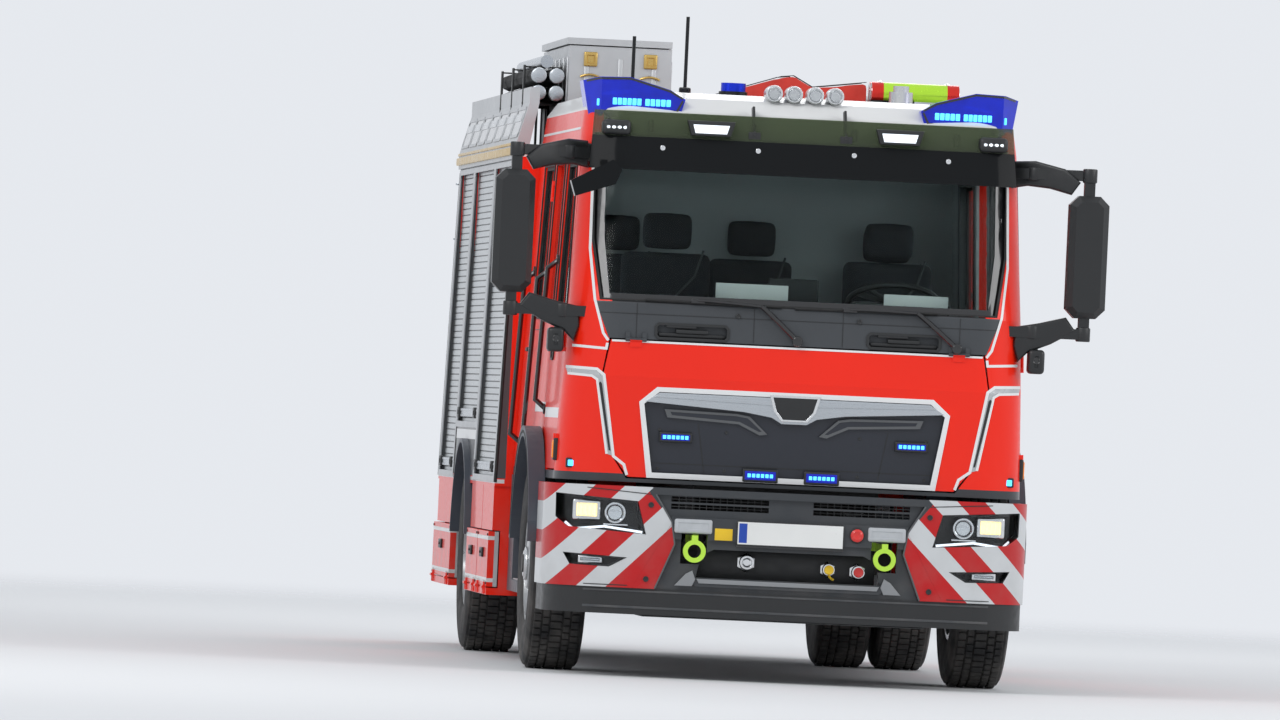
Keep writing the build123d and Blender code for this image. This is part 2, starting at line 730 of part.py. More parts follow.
# Dashboard with the steering column and wheel
wheel_tilt = 25.0
wheel_centre = (520.0, front + 720.0, 1900.0)
with BuildPart() as dashboard:
    dash_outline = [
        (front + 300.0, 1500.0), (front + 560.0, 1500.0), (front + 640.0, 1760.0),
        (front + 520.0, 1850.0), (front + 300.0, 1840.0),
    ]
    add(side_prism(dash_outline, 1, -940.0, 940.0))
    add(block((-940.0, 940.0), (front + 300.0, front + 380.0), (floor_top, 1500.0)))
    tilt = math.radians(wheel_tilt)
    wheel_plane = Plane(origin=wheel_centre, x_dir=(1, 0, 0), z_dir=(0, math.sin(tilt), math.cos(tilt)))
    with BuildSketch(Plane(origin=wheel_plane.from_local_coords((225.0, 0, 0)), x_dir=wheel_plane.x_dir,
                           z_dir=wheel_plane.y_dir)):
        RegularPolygon(16.0, 8)
    revolve(axis=Axis(wheel_plane.origin, wheel_plane.z_dir))
    with BuildSketch(wheel_plane):
        Circle(60.0)
    extrude(amount=20.0, both=True)
    for turn in (90.0, 210.0, 330.0):
        spoke_tip = (215.0 * math.cos(math.radians(turn)), 215.0 * math.sin(math.radians(turn)), 0)
        spoke_end = wheel_plane.from_local_coords(spoke_tip)
        spoke_axis = spoke_end - wheel_plane.origin
        with BuildSketch(Plane(origin=wheel_plane.origin, z_dir=spoke_axis)):
            Rectangle(24.0, 24.0)
        extrude(amount=spoke_axis.length)
    with BuildSketch(wheel_plane):
        Circle(32.0)
    extrude(amount=-330.0)
save(dashboard.part, "dashboard")

# Seats: driver, co-driver and a crew bench on the rear wall
cushion_edge = 35.0
cushion_bottom = floor_top + 330.0
cushion_top = floor_top + 480.0
back_top = floor_top + 900.0
headrest_half = 135.0


def cushion(x, y, z):
    """Block with all its edges cut off, the closed form of a seat pad."""
    with BuildPart() as pad:
        add(block(x, y, z))
        chamfer(pad.edges(), cushion_edge)
    return pad.part


with BuildPart() as seats:
    # columns: middle of the seat, place of its back, width
    seat_table = [
        (560.0, front + 1560.0, 500.0),
        (-560.0, front + 1560.0, 500.0),
        (700.0, front + 3140.0, 480.0),
        (0.0, front + 3140.0, 480.0),
        (-700.0, front + 3140.0, 480.0),
    ]
    for middle, back, width in seat_table:
        low, high = middle - width / 2, middle + width / 2
        add(cushion((low, high), (back - 560.0, back - 60.0), (cushion_bottom, cushion_top)))
        add(cushion((low, high), (back - 130.0, back), (cushion_bottom, back_top)))
        add(cushion((middle - headrest_half, middle + headrest_half), (back - 120.0, back - 10.0),
                    (back_top - 20.0, back_top + 180.0)))
        add(block((low + 60.0, high - 60.0), (back - 480.0, back - 100.0), (floor_top, cushion_bottom + 10.0)))
save(seats.part, "seats")

# Mirrors: C-shaped housings on two thick arms from the pillar, with a main and a wide-angle glass each
mirror_outer = mirror_span / 2
mirror_inner = mirror_outer - 195.0
mirror_y = front + 190.0
mirror_half = 60.0
mirror_z = (1870.0, 2475.0)
mirror_corner = 45.0
arm_half = 26.0
arm_x = 1420.0
glass_z = ((1900.0, 2120.0), (2140.0, 2445.0))
with BuildPart() as mirror_right:
    housing = [
        (-mirror_inner, mirror_z[0] + mirror_corner), (-mirror_inner - mirror_corner, mirror_z[0]),
        (-mirror_outer + mirror_corner, mirror_z[0]), (-mirror_outer, mirror_z[0] + mirror_corner),
        (-mirror_outer, mirror_z[1] - mirror_corner), (-mirror_outer + mirror_corner, mirror_z[1]),
        (-mirror_inner - mirror_corner, mirror_z[1]), (-mirror_inner, mirror_z[1] - mirror_corner),
    ]
    add(front_prism(housing, mirror_y - mirror_half, mirror_y + mirror_half))
    front_edges = mirror_right.edges().group_by(Axis.Y)[0]
    chamfer(front_edges, 30.0)
    for heights in glass_z:
        add(block((-mirror_outer + 16.0, -mirror_inner - 16.0),
                  (mirror_y + mirror_half - 14.0, mirror_y + mirror_half), heights), mode=Mode.SUBTRACT)
        glass = (heights[0] + 2.0, heights[1] - 2.0)
        add(block((-mirror_outer + 18.0, -mirror_inner - 18.0),
                  (mirror_y + mirror_half - 15.0, mirror_y + mirror_half - 8.0), glass))
    # columns: height at the mirror, height where the arm turns, how far behind the mirror it meets the pillar
    for start_z, arm_z, setback in ((1890.0, 1790.0, 20.0), (2455.0, 2575.0, 230.0)):
        add(block((-arm_x - arm_half, -arm_x + arm_half), (mirror_y - arm_half, mirror_y + arm_half),
                  (min(start_z, arm_z - arm_half), max(start_z, arm_z + arm_half))))
        arm_outline = [
            (-arm_x - arm_half, mirror_y - arm_half), (-1000.0, mirror_y + setback - 2 * arm_half),
            (-1000.0, mirror_y + setback + 20.0), (-arm_x - arm_half, mirror_y + arm_half),
        ]
        with BuildPart(mode=Mode.PRIVATE) as arm:
            add(plan_prism(arm_outline, arm_z - arm_half, arm_z + arm_half))
            add(cab_form(0.0, cab_bottom), mode=Mode.SUBTRACT)
        add(arm.part)
save(both_sides(mirror_right.part), "mirrors")

# Blue warning light blocks on the front roof corners, pointed at their inner ends
light_face = [
    (-585.0, 2860.0), (-660.0, 2904.0), (-860.0, 2960.0), (-1010.0, 2956.0),
    (-1085.0, 2937.0), (-1050.0, 2740.0), (-620.0, 2740.0),
]
light_plan = [
    (-1100.0, front + 800.0), (-1100.0, front + 590.0), (-1000.0, front + 440.0),
    (-585.0, front + 400.0), (-585.0, front + 800.0),
]
with BuildPart() as light_right:
    add(front_prism(light_face, front + 400.0, front + 800.0))
    add(plan_prism(light_plan, 2700.0, 3000.0), mode=Mode.INTERSECT)
    add(cab_form(0.0, cab_bottom), mode=Mode.SUBTRACT)
save(both_sides(light_right.part), "warning_lights")

# Round lamps, beacon, dome, rod antennas and two rolled hoses in a tray on the cab roof
lamp_row = (-140.0, -40.0, 65.0, 165.0)
lamp_radius = 43.0
lamp_z = roof_height + 12.0
antenna_radius = 9.0
hose_radius = 54.0
with BuildPart() as roof_equipment:
    with BuildPart(mode=Mode.PRIVATE) as round_lamps:
        for place in lamp_row:
            with Locations(Location((place, front + 530.0, lamp_z), (90, 0, 0))):
                Cylinder(lamp_radius, 120.0)
        add(cab_form(0.0, cab_bottom), mode=Mode.SUBTRACT)
    add(round_lamps.part)
    with Locations((-310.0, front + 900.0, roof_height)):
        Cylinder(72.0, 22.0, align=(Align.CENTER, Align.CENTER, Align.MIN))
        Cylinder(62.0, 65.0, align=(Align.CENTER, Align.CENTER, Align.MIN))
    with Locations((530.0, front + 900.0, roof_height)):
        Cylinder(60.0, 60.0, align=(Align.CENTER, Align.CENTER, Align.MIN))
        Cylinder(40.0, 90.0, align=(Align.CENTER, Align.CENTER, Align.MIN))
    for place, top in ((-536.0, 3290.0), (-800.0, 3180.0)):
        with Locations((place, front + 1100.0, roof_height)):
            Cylinder(antenna_radius, top - roof_height, align=(Align.CENTER, Align.CENTER, Align.MIN))
            Cylinder(30.0, 30.0, align=(Align.CENTER, Align.CENTER, Align.MIN))
    add(block((400.0, 850.0), (front + 1120.0, front + 1350.0), (roof_height, roof_height + 20.0)))
    for hose_y in (front + 1180.0, front + 1290.0):
        with Locations(Location((625.0, hose_y, roof_height + hose_radius + 4.0), (0, 90, 0))):
            Cylinder(hose_radius, 440.0)
save(roof_equipment.part, "roof_equipment")

# Tent-shaped soft cover over the gear in the middle of the cab roof
cover_outline = [
    (-380.0, roof_height), (386.0, roof_height), (386.0, roof_height + 108.0), (117.0, roof_height + 72.0),
    (21.0, roof_height + 124.0), (-42.0, roof_height + 117.0), (-342.0, roof_height + 20.0),
]
with BuildPart() as roof_cover:
    add(front_prism(cover_outline, front + 1200.0, front + 1620.0))
save(roof_cover.part, "roof_cover")


def bumper_plan(inset, end):
    """Plan outline of the bumper, drawn in by inset and closed at its rear end."""
    half = bumper_half - inset
    shoulder = bumper_shoulder - inset / 2
    nose = front + inset
    shoulder_y = bumper_shoulder_y + inset
    bend_x = half - 75.0
    bend_y = bumper_corner_y - 190.0
    with BuildSketch() as plan:
        with BuildLine():
            Line((half, end), (-half, end))
            Line((-half, end), (-half, bumper_corner_y))
            ThreePointArc((-half, bumper_corner_y), (-bend_x, bend_y), (-shoulder, shoulder_y))
            ThreePointArc((-shoulder, shoulder_y), (0, nose), (shoulder, shoulder_y))
            ThreePointArc((shoulder, shoulder_y), (bend_x, bend_y), (half, bumper_corner_y))
            Line((half, bumper_corner_y), (half, end))
        make_face()
    return plan.sketch


def bumper_ring(outset, wall, bottom, top):
    """Upright U-shaped wall that follows the bumper's plan."""
    with BuildPart() as ring:
        with BuildSketch(Plane.XY.offset(bottom)):
            add(bumper_plan(outset, bumper_end))
            add(bumper_plan(outset + wall, bumper_end + 100.0), mode=Mode.SUBTRACT)
        extrude(amount=top - bottom)
    return ring.part


# Front bumper: two corner shells and a sunk middle with slots, a plate bar, ring pockets and an opening
headlamp = [(1150.0, 893.0), (754.0, 868.0), (708.0, 706.0), (1090.0, 730.0), (1148.0, 775.0)]
fog_lamp = [(1107.0, 602.0), (795.0, 589.0), (882.0, 540.0), (1074.0, 545.0)]
middle_outline = mirrored([(770.0, bumper_bottom), (580.0, 773.0), (663.0, 905.0)])
lip_z = (462.0, 506.0)
lip_outline = mirrored([(452.0, lip_z[0]), (512.0, lip_z[1])])
opening_outline = mirrored([(456.0, lip_z[1]), (432.0, 615.0), (370.0, 647.0)])
tow_ring_x = 470.0
tow_ring_z = 635.0
tow_ring_y = front + 4.0
tow_ring_radius = 56.0
tow_ring_bore = 33.0
tow_ring_depth = 26.0
tow_bar_z = (tow_ring_z + 38.0, tow_ring_z + 78.0)
pocket_half = 64.0
with BuildPart() as front_bumper:
    add(bumper_ring(0.0, bumper_wall, bumper_bottom, bumper_top))
    with BuildPart(mode=Mode.PRIVATE) as sunk_middle:
        add(bumper_ring(-5.0, bumper_recess + 5.0, bumper_bottom, bumper_top))
        add(front_prism(middle_outline, front - 50.0, bumper_corner_y), mode=Mode.INTERSECT)
    add(sunk_middle.part, mode=Mode.SUBTRACT)
    with BuildPart(mode=Mode.PRIVATE) as plate_bar:
        add(bumper_ring(4.0, bumper_wall - 4.0, *bar_z))
        add(block((-bar_half, bar_half), (front, bumper_corner_y), bar_z), mode=Mode.INTERSECT)
    add(plate_bar.part)
    with BuildPart(mode=Mode.PRIVATE) as lip:
        add(bumper_ring(4.0, bumper_wall - 4.0, *lip_z))
        add(front_prism(lip_outline, front, bumper_corner_y), mode=Mode.INTERSECT)
    add(lip.part)
    add(block((-700.0, 700.0), (front + 55.0, front + 120.0), (740.0, 830.0)))
    for side in (-1, 1):
        for outline in (headlamp, fog_lamp):
            add(front_prism([(side * x, z) for x, z in outline], front, bumper_corner_y), mode=Mode.SUBTRACT)
        add(block(across(side, tow_ring_x - pocket_half, tow_ring_x + pocket_half), (front, front + 200.0),
                  (tow_ring_z - pocket_half, tow_bar_z[1] + 6.0)), mode=Mode.SUBTRACT)
        for heights in intake_rows:
            add(block(across(side, intake_x[0], intake_x[1]), (front, front + 130.0), heights),
                mode=Mode.SUBTRACT)
        add(block(across(side, rail_x - 30.0, rail_x + rail_width / 2), (front + 100.0, rail_start),
                  (770.0, 830.0)))
    add(front_prism(opening_outline, front, front + 200.0), mode=Mode.SUBTRACT)
    add(block((-250.0, 250.0), (front, front + 40.0), (690.0, 780.0)))
save(front_bumper.part, "front_bumper")

with BuildPart() as front_skirt:
    add(bumper_ring(skirt_inset, 40.0, skirt_bottom, bumper_bottom))
save(front_skirt.part, "front_skirt")

# Headlamps, fog lamps and tail lamps
with BuildPart() as lamps:
    for outline in (headlamp, fog_lamp):
        with BuildPart(mode=Mode.PRIVATE) as lamp:
            add(bumper_ring(10.0, bumper_wall, bumper_bottom, bumper_top))
            add(front_prism(outline, front, bumper_corner_y), mode=Mode.INTERSECT)
        add(both_sides(lamp.part))
    for side in (-1, 1):
        for height in (1150.0, 1450.0):
            add(block(across(side, 980.0, 1120.0), (rear, rear + 18.0), (height, height + 240.0)))
save(lamps.part, "lamps")

# Towing rings at the front and the towing eye plate at the rear
with BuildPart() as tow_points:
    for side in (-1, 1):
        with Locations(Location((side * tow_ring_x, tow_ring_y, tow_ring_z), (90, 0, 0))):
            Cylinder(tow_ring_radius, tow_ring_depth)
            Cylinder(tow_ring_bore, tow_ring_depth, mode=Mode.SUBTRACT)
        add(block(across(side, tow_ring_x - 15.0, tow_ring_x + 15.0),
                  (tow_ring_y - tow_ring_depth / 2, rail_start + 60.0), tow_bar_z))
        add(block(across(side, tow_ring_x - 15.0, tow_ring_x - 45.0), (rail_start, rail_start + 60.0),
                  (tow_bar_z[0], rail_top - rail_height)))
    coupling_z = 700.0
    add(block((-120.0, 120.0), (rail_end - 40.0, rail_end), (coupling_z - 80.0, rail_top)))
    add(block((-50.0, 50.0), (rail_end, rear - 38.0), (coupling_z - 20.0, coupling_z + 20.0)))
    with Locations((0, rear - 38.0, coupling_z)):
        Cylinder(60.0, 40.0)
        Cylinder(20.0, 40.0, mode=Mode.SUBTRACT)
save(tow_points.part, "tow_points")

# Blank number plates, front and rear
plate_width = 520.0
plate_height = 110.0
plate_z = (680.0, 480.0)
beam_gap = 115.0
beam_face = rear + 12.0
rear_plate_x = beam_gap + 35.0
with BuildPart() as number_plates:
    add(block((-plate_width / 2, plate_width / 2), (front - 6.0, front),
              (plate_z[0], plate_z[0] + plate_height)))
    add(block((rear_plate_x, rear_plate_x + plate_width), (beam_face, beam_face + 4.0),
              (plate_z[1], plate_z[1] + plate_height)))
save(number_plates.part, "number_plates")

# Front wheel arches with their flares and the cab steps, and the flared rear mudguards
arch_sheet = 12.0
arch_x = (875.0, 1165.0)
arch_foot = 960.0
flare_x = (cab_half + 1.0, 1245.0)
flare_foot = 640.0
flare_rim = 40.0
step_box_x = (860.0, 1165.0)
step_box_y = (front + 2050.0, cab_rear)
step_box_z = (360.0, 955.0)
step_opening_y = (front + 2120.0, front + 2880.0)
step_opening_height = 230.0
rear_guard_x = (610.0, 1280.0)
rear_guard_sheet = 21.5
rear_guard_foot = 620.0


def half_ring(side, reach, axle_y, radius, sheet, foot):
    """Arched sheet over a wheel, cut off below foot; reach gives its places across the vehicle."""
    width = reach[1] - reach[0]
    with BuildPart() as ring:
        with Locations(Location((side * (reach[0] + width / 2), axle_y, tyre_radius), (0, 90, 0))):
            Cylinder(radius, width)
            Cylinder(radius - sheet, width, mode=Mode.SUBTRACT)
        add(block((-1300.0, 1300.0), (axle_y - radius, axle_y + radius), (-300.0, foot)), mode=Mode.SUBTRACT)
    return ring.part


with BuildPart() as mudguards:
    for side in (-1, 1):
        add(half_ring(side, arch_x, front_axle_y, cab_arch_radius - 1.0, arch_sheet, arch_foot))
        with BuildPart(mode=Mode.PRIVATE) as arch_flare:
            add(half_ring(side, flare_x, front_axle_y, cab_arch_radius + flare_rim,
                          flare_rim + arch_sheet + 1.0, flare_foot))
            add(block((-1300.0, 1300.0), (front, bumper_end + 6.0), (600.0, 1000.0)), mode=Mode.SUBTRACT)
        add(arch_flare.part)
        with BuildPart(mode=Mode.PRIVATE) as crew_step:
            add(block(across(side, *step_box_x), step_box_y, step_box_z))
            for step_z in (420.0, 700.0):
                add(block(across(side, 900.0, 1200.0), step_opening_y, (step_z, step_z + step_opening_height)),
                    mode=Mode.SUBTRACT)
            add(block(across(side, rail_x + rail_width / 2, step_box_x[0] + 10.0),
                      (front + 2090.0, front + 2150.0), (800.0, 860.0)))
        add(crew_step.part)
        add(half_ring(side, rear_guard_x, rear_axle_y, rear_arch_radius - 0.5,
                      rear_guard_sheet, rear_guard_foot))
save(mudguards.part, "mudguards")

# Locker body
# columns: name, start along the vehicle, end, bottom
shutter_table = [
    ("front", body_front + 60.0, front + 4910.0, 930.0),
    ("middle", front + 4970.0, front + 6560.0, 1200.0),
    ("rear", front + 6620.0, rear - 60.0, 930.0),
]
rear_shutter_half = 860.0
rear_shutter_bottom = 1060.0
# columns: name, start along the vehicle, end
flap_table = [
    ("front", body_front + 12.0, front + 4090.0),
    ("middle", front + 4110.0, front + 4980.0),
    ("rear", front + 6320.0, rear - 90.0),
]


def body_prism(inset, bottom, top, start, end):
    """Part of the locker body's leaning form, drawn in by inset at its sides."""
    outline = [
        (-body_side(bottom) + inset, bottom),
        (body_side(bottom) - inset, bottom),
        (body_side(top) - inset, top),
        (-body_side(top) + inset, top),
    ]
    return front_prism(outline, start, end)


def step_hinges(side, start, end):
    """Two hinges along the sill under a step flap."""
    axis_x = body_side(body_bottom) + step_stand + hinge_stand
    axis_z = (sill_top + step_flap_bottom) / 2
    places = (start + 150.0, end - 150.0)
    return [hinge((side * axis_x, y, axis_z), (side, 0, 0), (0, 1, 0), -side, hinge_half) for y in places]


def arch_cylinder(radius, inner):
    """Pair of wheel arch cylinders over the rear wheels, outward from inner."""
    with BuildPart() as pair:
        for side in (-1, 1):
            with Locations(Location((side * (inner + 400.0), rear_axle_y, tyre_radius), (0, 90, 0))):
                Cylinder(radius, 800.0)
    return pair.part


with BuildPart() as body_form:
    add(body_prism(0.0, body_bottom, body_top, body_front, rear))
    with BuildPart(mode=Mode.PRIVATE) as locker_space:
        add(body_prism(body_wall, body_bottom + body_wall, body_top - body_wall, body_front + body_wall,
                       rear - body_wall))
        add(block((-tunnel_half - body_wall, tunnel_half + body_wall), (body_front, rear),
                  (body_bottom, body_floor + body_wall)), mode=Mode.SUBTRACT)
        add(arch_cylinder(rear_arch_radius + body_wall, 560.0), mode=Mode.SUBTRACT)
    add(locker_space.part, mode=Mode.SUBTRACT)
    add(block((-tunnel_half, tunnel_half), (body_front, rear), (body_bottom, body_floor)), mode=Mode.SUBTRACT)
    add(arch_cylinder(rear_arch_radius, 610.0), mode=Mode.SUBTRACT)
    for side in (-1, 1):
        for name, start, end, bottom in shutter_table:
            add(block(across(side, 1100.0, 1300.0), (start, end), (bottom, shutter_top)), mode=Mode.SUBTRACT)
    add(block((-rear_shutter_half, rear_shutter_half), (rear - 100.0, rear + 10.0),
              (rear_shutter_bottom, shutter_top)), mode=Mode.SUBTRACT)

# Upper body: walls and roof, split from the floor above the wheel boxes
with BuildPart() as body_shell:
    add(body_form.part)
    add(block((-body_half, body_half), (body_front, rear), (body_split, body_top)), mode=Mode.INTERSECT)
save(body_shell.part, "body_shell")

# Body floor with its tunnel and wheel boxes, on runners over the frame rails
with BuildPart() as body_base:
    add(body_form.part)
    add(block((-body_half, body_half), (body_front, rear), (body_bottom, body_split)), mode=Mode.INTERSECT)
    for side in (-1, 1):
        add(block(across(side, rail_x - 30.0, rail_x + 30.0), (body_front + 60.0, rail_end - 60.0),
                  (rail_top, body_floor)))
save(body_base.part, "body_base")

# Low lockers under the floor, open behind their step flaps, each on a sill with hinge ears
for side, hand in ((1, "left"), (-1, "right")):
    with BuildPart() as low_lockers:
        outer = body_side(body_bottom)
        for name, start, end in flap_table:
            add(block(across(side, locker_back_x, outer), (start, end), (locker_bottom, body_bottom)))
            add(block(across(side, locker_back_x + locker_wall, outer + 10.0),
                      (start + locker_wall, end - locker_wall), (sill_top, step_flap_top + flap_gap)),
                mode=Mode.SUBTRACT)
            recess = outer + step_stand - step_flap_thickness - flap_gap
            add(block(across(side, recess, outer + 10.0), (start - 10.0, end + 10.0),
                      (sill_top, step_flap_top + flap_gap)), mode=Mode.SUBTRACT)
            add(block(across(side, outer - 60.0, outer + step_stand), (start, end), (locker_bottom, sill_top)))
            for pair in step_hinges(side, start, end):
                add(pair[0])
        add(arch_cylinder(rear_arch_radius, 610.0), mode=Mode.SUBTRACT)
    save(low_lockers.part, f"low_lockers_{hand}")

# Roller shutters, each a curtain of slats with its handle bar
def slat_face(bottom, face):
    """Points up the outer face of a curtain, with a groove at each joint; face gives the face at a height."""
    count = round((shutter_top - bottom) / slat_pitch)
    pitch = (shutter_top - bottom) / count
    points = [(face(bottom), bottom)]
    for joint in range(1, count):
        height = bottom + joint * pitch
        points.append((face(height), height - slat_joint))
        points.append((face(height) - slat_joint, height))
        points.append((face(height), height + slat_joint))
    return points + [(face(shutter_top), shutter_top)]


def side_face(height):
    """Outer face of a side curtain at a height."""
    return body_side(height) - shutter_inset


with BuildPart() as shutters:
    for side in (-1, 1):
        for name, start, end, bottom in shutter_table:
            outline = slat_face(bottom, side_face) + [
                (side_face(shutter_top) - shutter_thickness, shutter_top),
                (side_face(bottom) - shutter_thickness, bottom),
            ]
            add(front_prism([(side * x, z) for x, z in outline], start, end))
            bar_x = side_face(bottom + 60.0)
            add(block(across(side, bar_x - 5.0, bar_x + 16.0), (start + 30.0, end - 30.0),
                      (bottom + 40.0, bottom + 75.0)))
    rear_face = rear - shutter_inset
    rear_outline = slat_face(rear_shutter_bottom, lambda height: rear_face)
    rear_back = rear_face - shutter_thickness
    rear_outline += [(rear_back, shutter_top), (rear_back, rear_shutter_bottom)]
    add(side_prism(rear_outline, 1, -rear_shutter_half, rear_shutter_half))
save(shutters.part, "shutters")

# Fold-down step flaps along the lower edge of the body
for side, hand in ((1, "left"), (-1, "right")):
    for name, start, end in flap_table:
        outer = body_side(body_bottom) + step_stand
        with BuildPart() as step_flap:
            add(block(across(side, outer - step_flap_thickness, outer), (start + flap_gap, end - flap_gap),
                      (step_flap_bottom, step_flap_top)))
            for pair in step_hinges(side, start, end):
                add(pair[1])
        save(step_flap.part, f"step_{name}_{hand}")

# Rear bumper beam in two halves, with the towing coupling between them
with BuildPart() as rear_bumper:
    for side in (-1, 1):
        add(block(across(side, beam_gap, 1200.0), (rear - 60.0, beam_face), (470.0, 600.0)))
        add(block(across(side, rail_x - 30.0, rail_x + 30.0), (rail_end - 60.0, rear - 60.0), (500.0, 760.0)))
save(rear_bumper.part, "rear_bumper")

# Roof gallery: inclined panels with light rails along both roof edges
with BuildPart() as gallery_right:
    low_x = body_side(body_top)
    gallery_section = [
        (-low_x - 14.0, rail_bottom), (-low_x - 14.0, 2660.0), (-low_x + 45.0, gallery_top),
        (-low_x + 45.0, 2950.0), (-low_x + 95.0, 2950.0), (-low_x + 95.0, gallery_top), (-low_x + 55.0, 2660.0),
        (-low_x + 55.0, body_top), (-low_x - 1.0, body_top), (-low_x - 1.0, rail_bottom),
    ]
    add(front_prism(gallery_section, body_front, rear))
save(both_sides(gallery_right.part), "roof_gallery")

# Roof box of sheet aluminium with a hinged lid
box_x = (-950.0, -420.0)
box_y = (front + 3500.0, front + 5400.0)
box_bottom = body_top
box_top = 3180.0
lid_axis = (box_x[1] + hinge_stand, 0, box_top + lid_gap / 2)
lid_hinges = [
    hinge((lid_axis[0], y, lid_axis[2]), (1, 0, 0), (0, 1, 0), -1, hinge_half)
    for y in (box_y[0] + 300.0, box_y[1] - 300.0)
]
with BuildPart() as roof_box:
    add(block(box_x, box_y, (box_bottom, box_top)))
    add([pair[0] for pair in lid_hinges])
    hollow_x = (box_x[0] + roof_box_wall, box_x[1] - roof_box_wall)
    hollow_y = (box_y[0] + roof_box_wall, box_y[1] - roof_box_wall)
    add(block(hollow_x, hollow_y, (box_bottom + roof_box_wall, box_top + 10.0)), mode=Mode.SUBTRACT)
save(roof_box.part, "roof_box")

lid_edge = 12.0
with BuildPart() as roof_box_lid:
    add(block((box_x[0] - lid_edge, box_x[1]), (box_y[0] - lid_edge, box_y[1] + lid_edge),
              (box_top + lid_gap, overall_height)))
    add([pair[1] for pair in lid_hinges])
save(roof_box_lid.part, "roof_box_lid")

# Ladder on the roof, on two bridges with feet
with BuildPart() as ladders:
    ladder_y = (front + 4400.0, rear - 150.0)
    ladder_x = (ladder_middle - ladder_half, ladder_middle + ladder_half)
    for spar in ladder_x:
        add(block((spar - 18.0, spar + 18.0), ladder_y, (ladder_bottom, ladder_bottom + ladder_depth)))
    rung_pitch = (ladder_y[1] - ladder_y[0] - 2 * ladder_tail) / (rungs - 1)
    for rung in range(rungs):
        rung_y = ladder_y[0] + ladder_tail + rung * rung_pitch
        with Locations(Location((ladder_middle, rung_y, ladder_bottom + ladder_depth / 2), (0, 90, 0))):
            Cylinder(16.0, 2 * ladder_half - 20.0)
    for place in (ladder_y[0] + 300.0, ladder_y[1] - 300.0):
        add(block((ladder_x[0] - 40.0, ladder_x[1] + 40.0), (place - 30.0, place + 30.0),
                  (ladder_bottom - 60.0, ladder_bottom)))
        for spar in ladder_x:
            add(block((spar - 25.0, spar + 25.0), (place - 25.0, place + 25.0),
                      (body_top, ladder_bottom - 60.0)))
save(ladders.part, "ladders")
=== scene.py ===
import json
import math
import bpy
from mathutils import Matrix, Vector

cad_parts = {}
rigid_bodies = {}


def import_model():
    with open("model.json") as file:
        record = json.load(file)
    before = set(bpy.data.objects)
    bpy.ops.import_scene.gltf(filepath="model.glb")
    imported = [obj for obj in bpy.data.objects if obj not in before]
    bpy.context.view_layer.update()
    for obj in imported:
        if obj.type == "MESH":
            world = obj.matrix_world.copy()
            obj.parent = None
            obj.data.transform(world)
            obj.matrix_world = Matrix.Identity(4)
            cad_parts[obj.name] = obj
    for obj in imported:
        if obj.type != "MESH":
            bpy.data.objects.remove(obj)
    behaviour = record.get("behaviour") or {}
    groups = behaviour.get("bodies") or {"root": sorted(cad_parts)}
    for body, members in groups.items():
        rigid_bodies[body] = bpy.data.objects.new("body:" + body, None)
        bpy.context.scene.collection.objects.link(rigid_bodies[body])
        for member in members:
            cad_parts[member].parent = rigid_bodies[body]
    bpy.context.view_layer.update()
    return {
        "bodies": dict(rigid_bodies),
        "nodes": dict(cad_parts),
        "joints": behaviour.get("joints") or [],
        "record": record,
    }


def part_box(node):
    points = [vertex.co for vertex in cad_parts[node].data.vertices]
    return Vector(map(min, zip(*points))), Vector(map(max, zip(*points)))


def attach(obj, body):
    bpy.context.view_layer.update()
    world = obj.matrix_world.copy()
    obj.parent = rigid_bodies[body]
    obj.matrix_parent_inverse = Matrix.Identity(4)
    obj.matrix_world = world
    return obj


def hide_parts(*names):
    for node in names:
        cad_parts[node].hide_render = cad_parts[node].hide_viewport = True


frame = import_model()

bpy.context.scene.view_settings.view_transform = "Standard"
nodes = frame["nodes"]

# Driving places, in metres, from the frame
front = -3.925
rear = 3.925
axle_front = -2.525
axle_rear = 1.725
wheel_height = 0.522
body_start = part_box("body_shell")[0].y
sides = ((1, "left"), (-1, "right"))


# ---------------------------------------------------------------- shapes of the cab and body
# columns: height, loss of half width at the roof, front face behind the nose, corner radius
cab_sections = (
    (0.96, 0.0, 0.120, 0.240),
    (1.48, 0.0, 0.072, 0.240),
    (1.84, 0.0, 0.095, 0.240),
    (2.66, 0.0, 0.330, 0.230),
    (2.80, 0.012, 0.400, 0.225),
    (2.87, 0.060, 0.500, 0.220),
    (2.90, 0.150, 0.640, 0.210),
)


def cab_section(height):
    """Half width, front face and corner radius of the cab at a height."""
    height = min(max(height, cab_sections[0][0]), cab_sections[-1][0])
    for low, high in zip(cab_sections, cab_sections[1:]):
        if height <= high[0]:
            break
    share = (height - low[0]) / (high[0] - low[0])
    loss, nose, radius = (low[i] + (high[i] - low[i]) * share for i in (1, 2, 3))
    return 1.16 - (height - 0.96) * 0.0433 - loss, front + nose, radius


def cab_front(x, height):
    """Place along the vehicle of the cab's front skin."""
    half, face, radius = cab_section(height)
    past = min(max(abs(x) - (half - radius), 0.0), radius)
    return face + radius - math.sqrt(radius**2 - past**2)


def cab_flank(y, height):
    """Half width of the cab's skin at a place along the vehicle."""
    half, face, radius = cab_section(height)
    past = min(max(face + radius - y, 0.0), radius)
    return half - radius + math.sqrt(radius**2 - past**2)


def bumper_front(x):
    """Place along the vehicle of the bumper's front face."""
    x = abs(x)
    if x < 0.93:
        return front + 0.075 * (x / 0.93) ** 2
    return front + 0.075 + 0.285 * min((x - 0.93) / 0.27, 1.0) ** 2.2


def body_flank(height):
    """Half width of the locker body at a height."""
    return 1.25 - (height - 0.89) * 0.0265


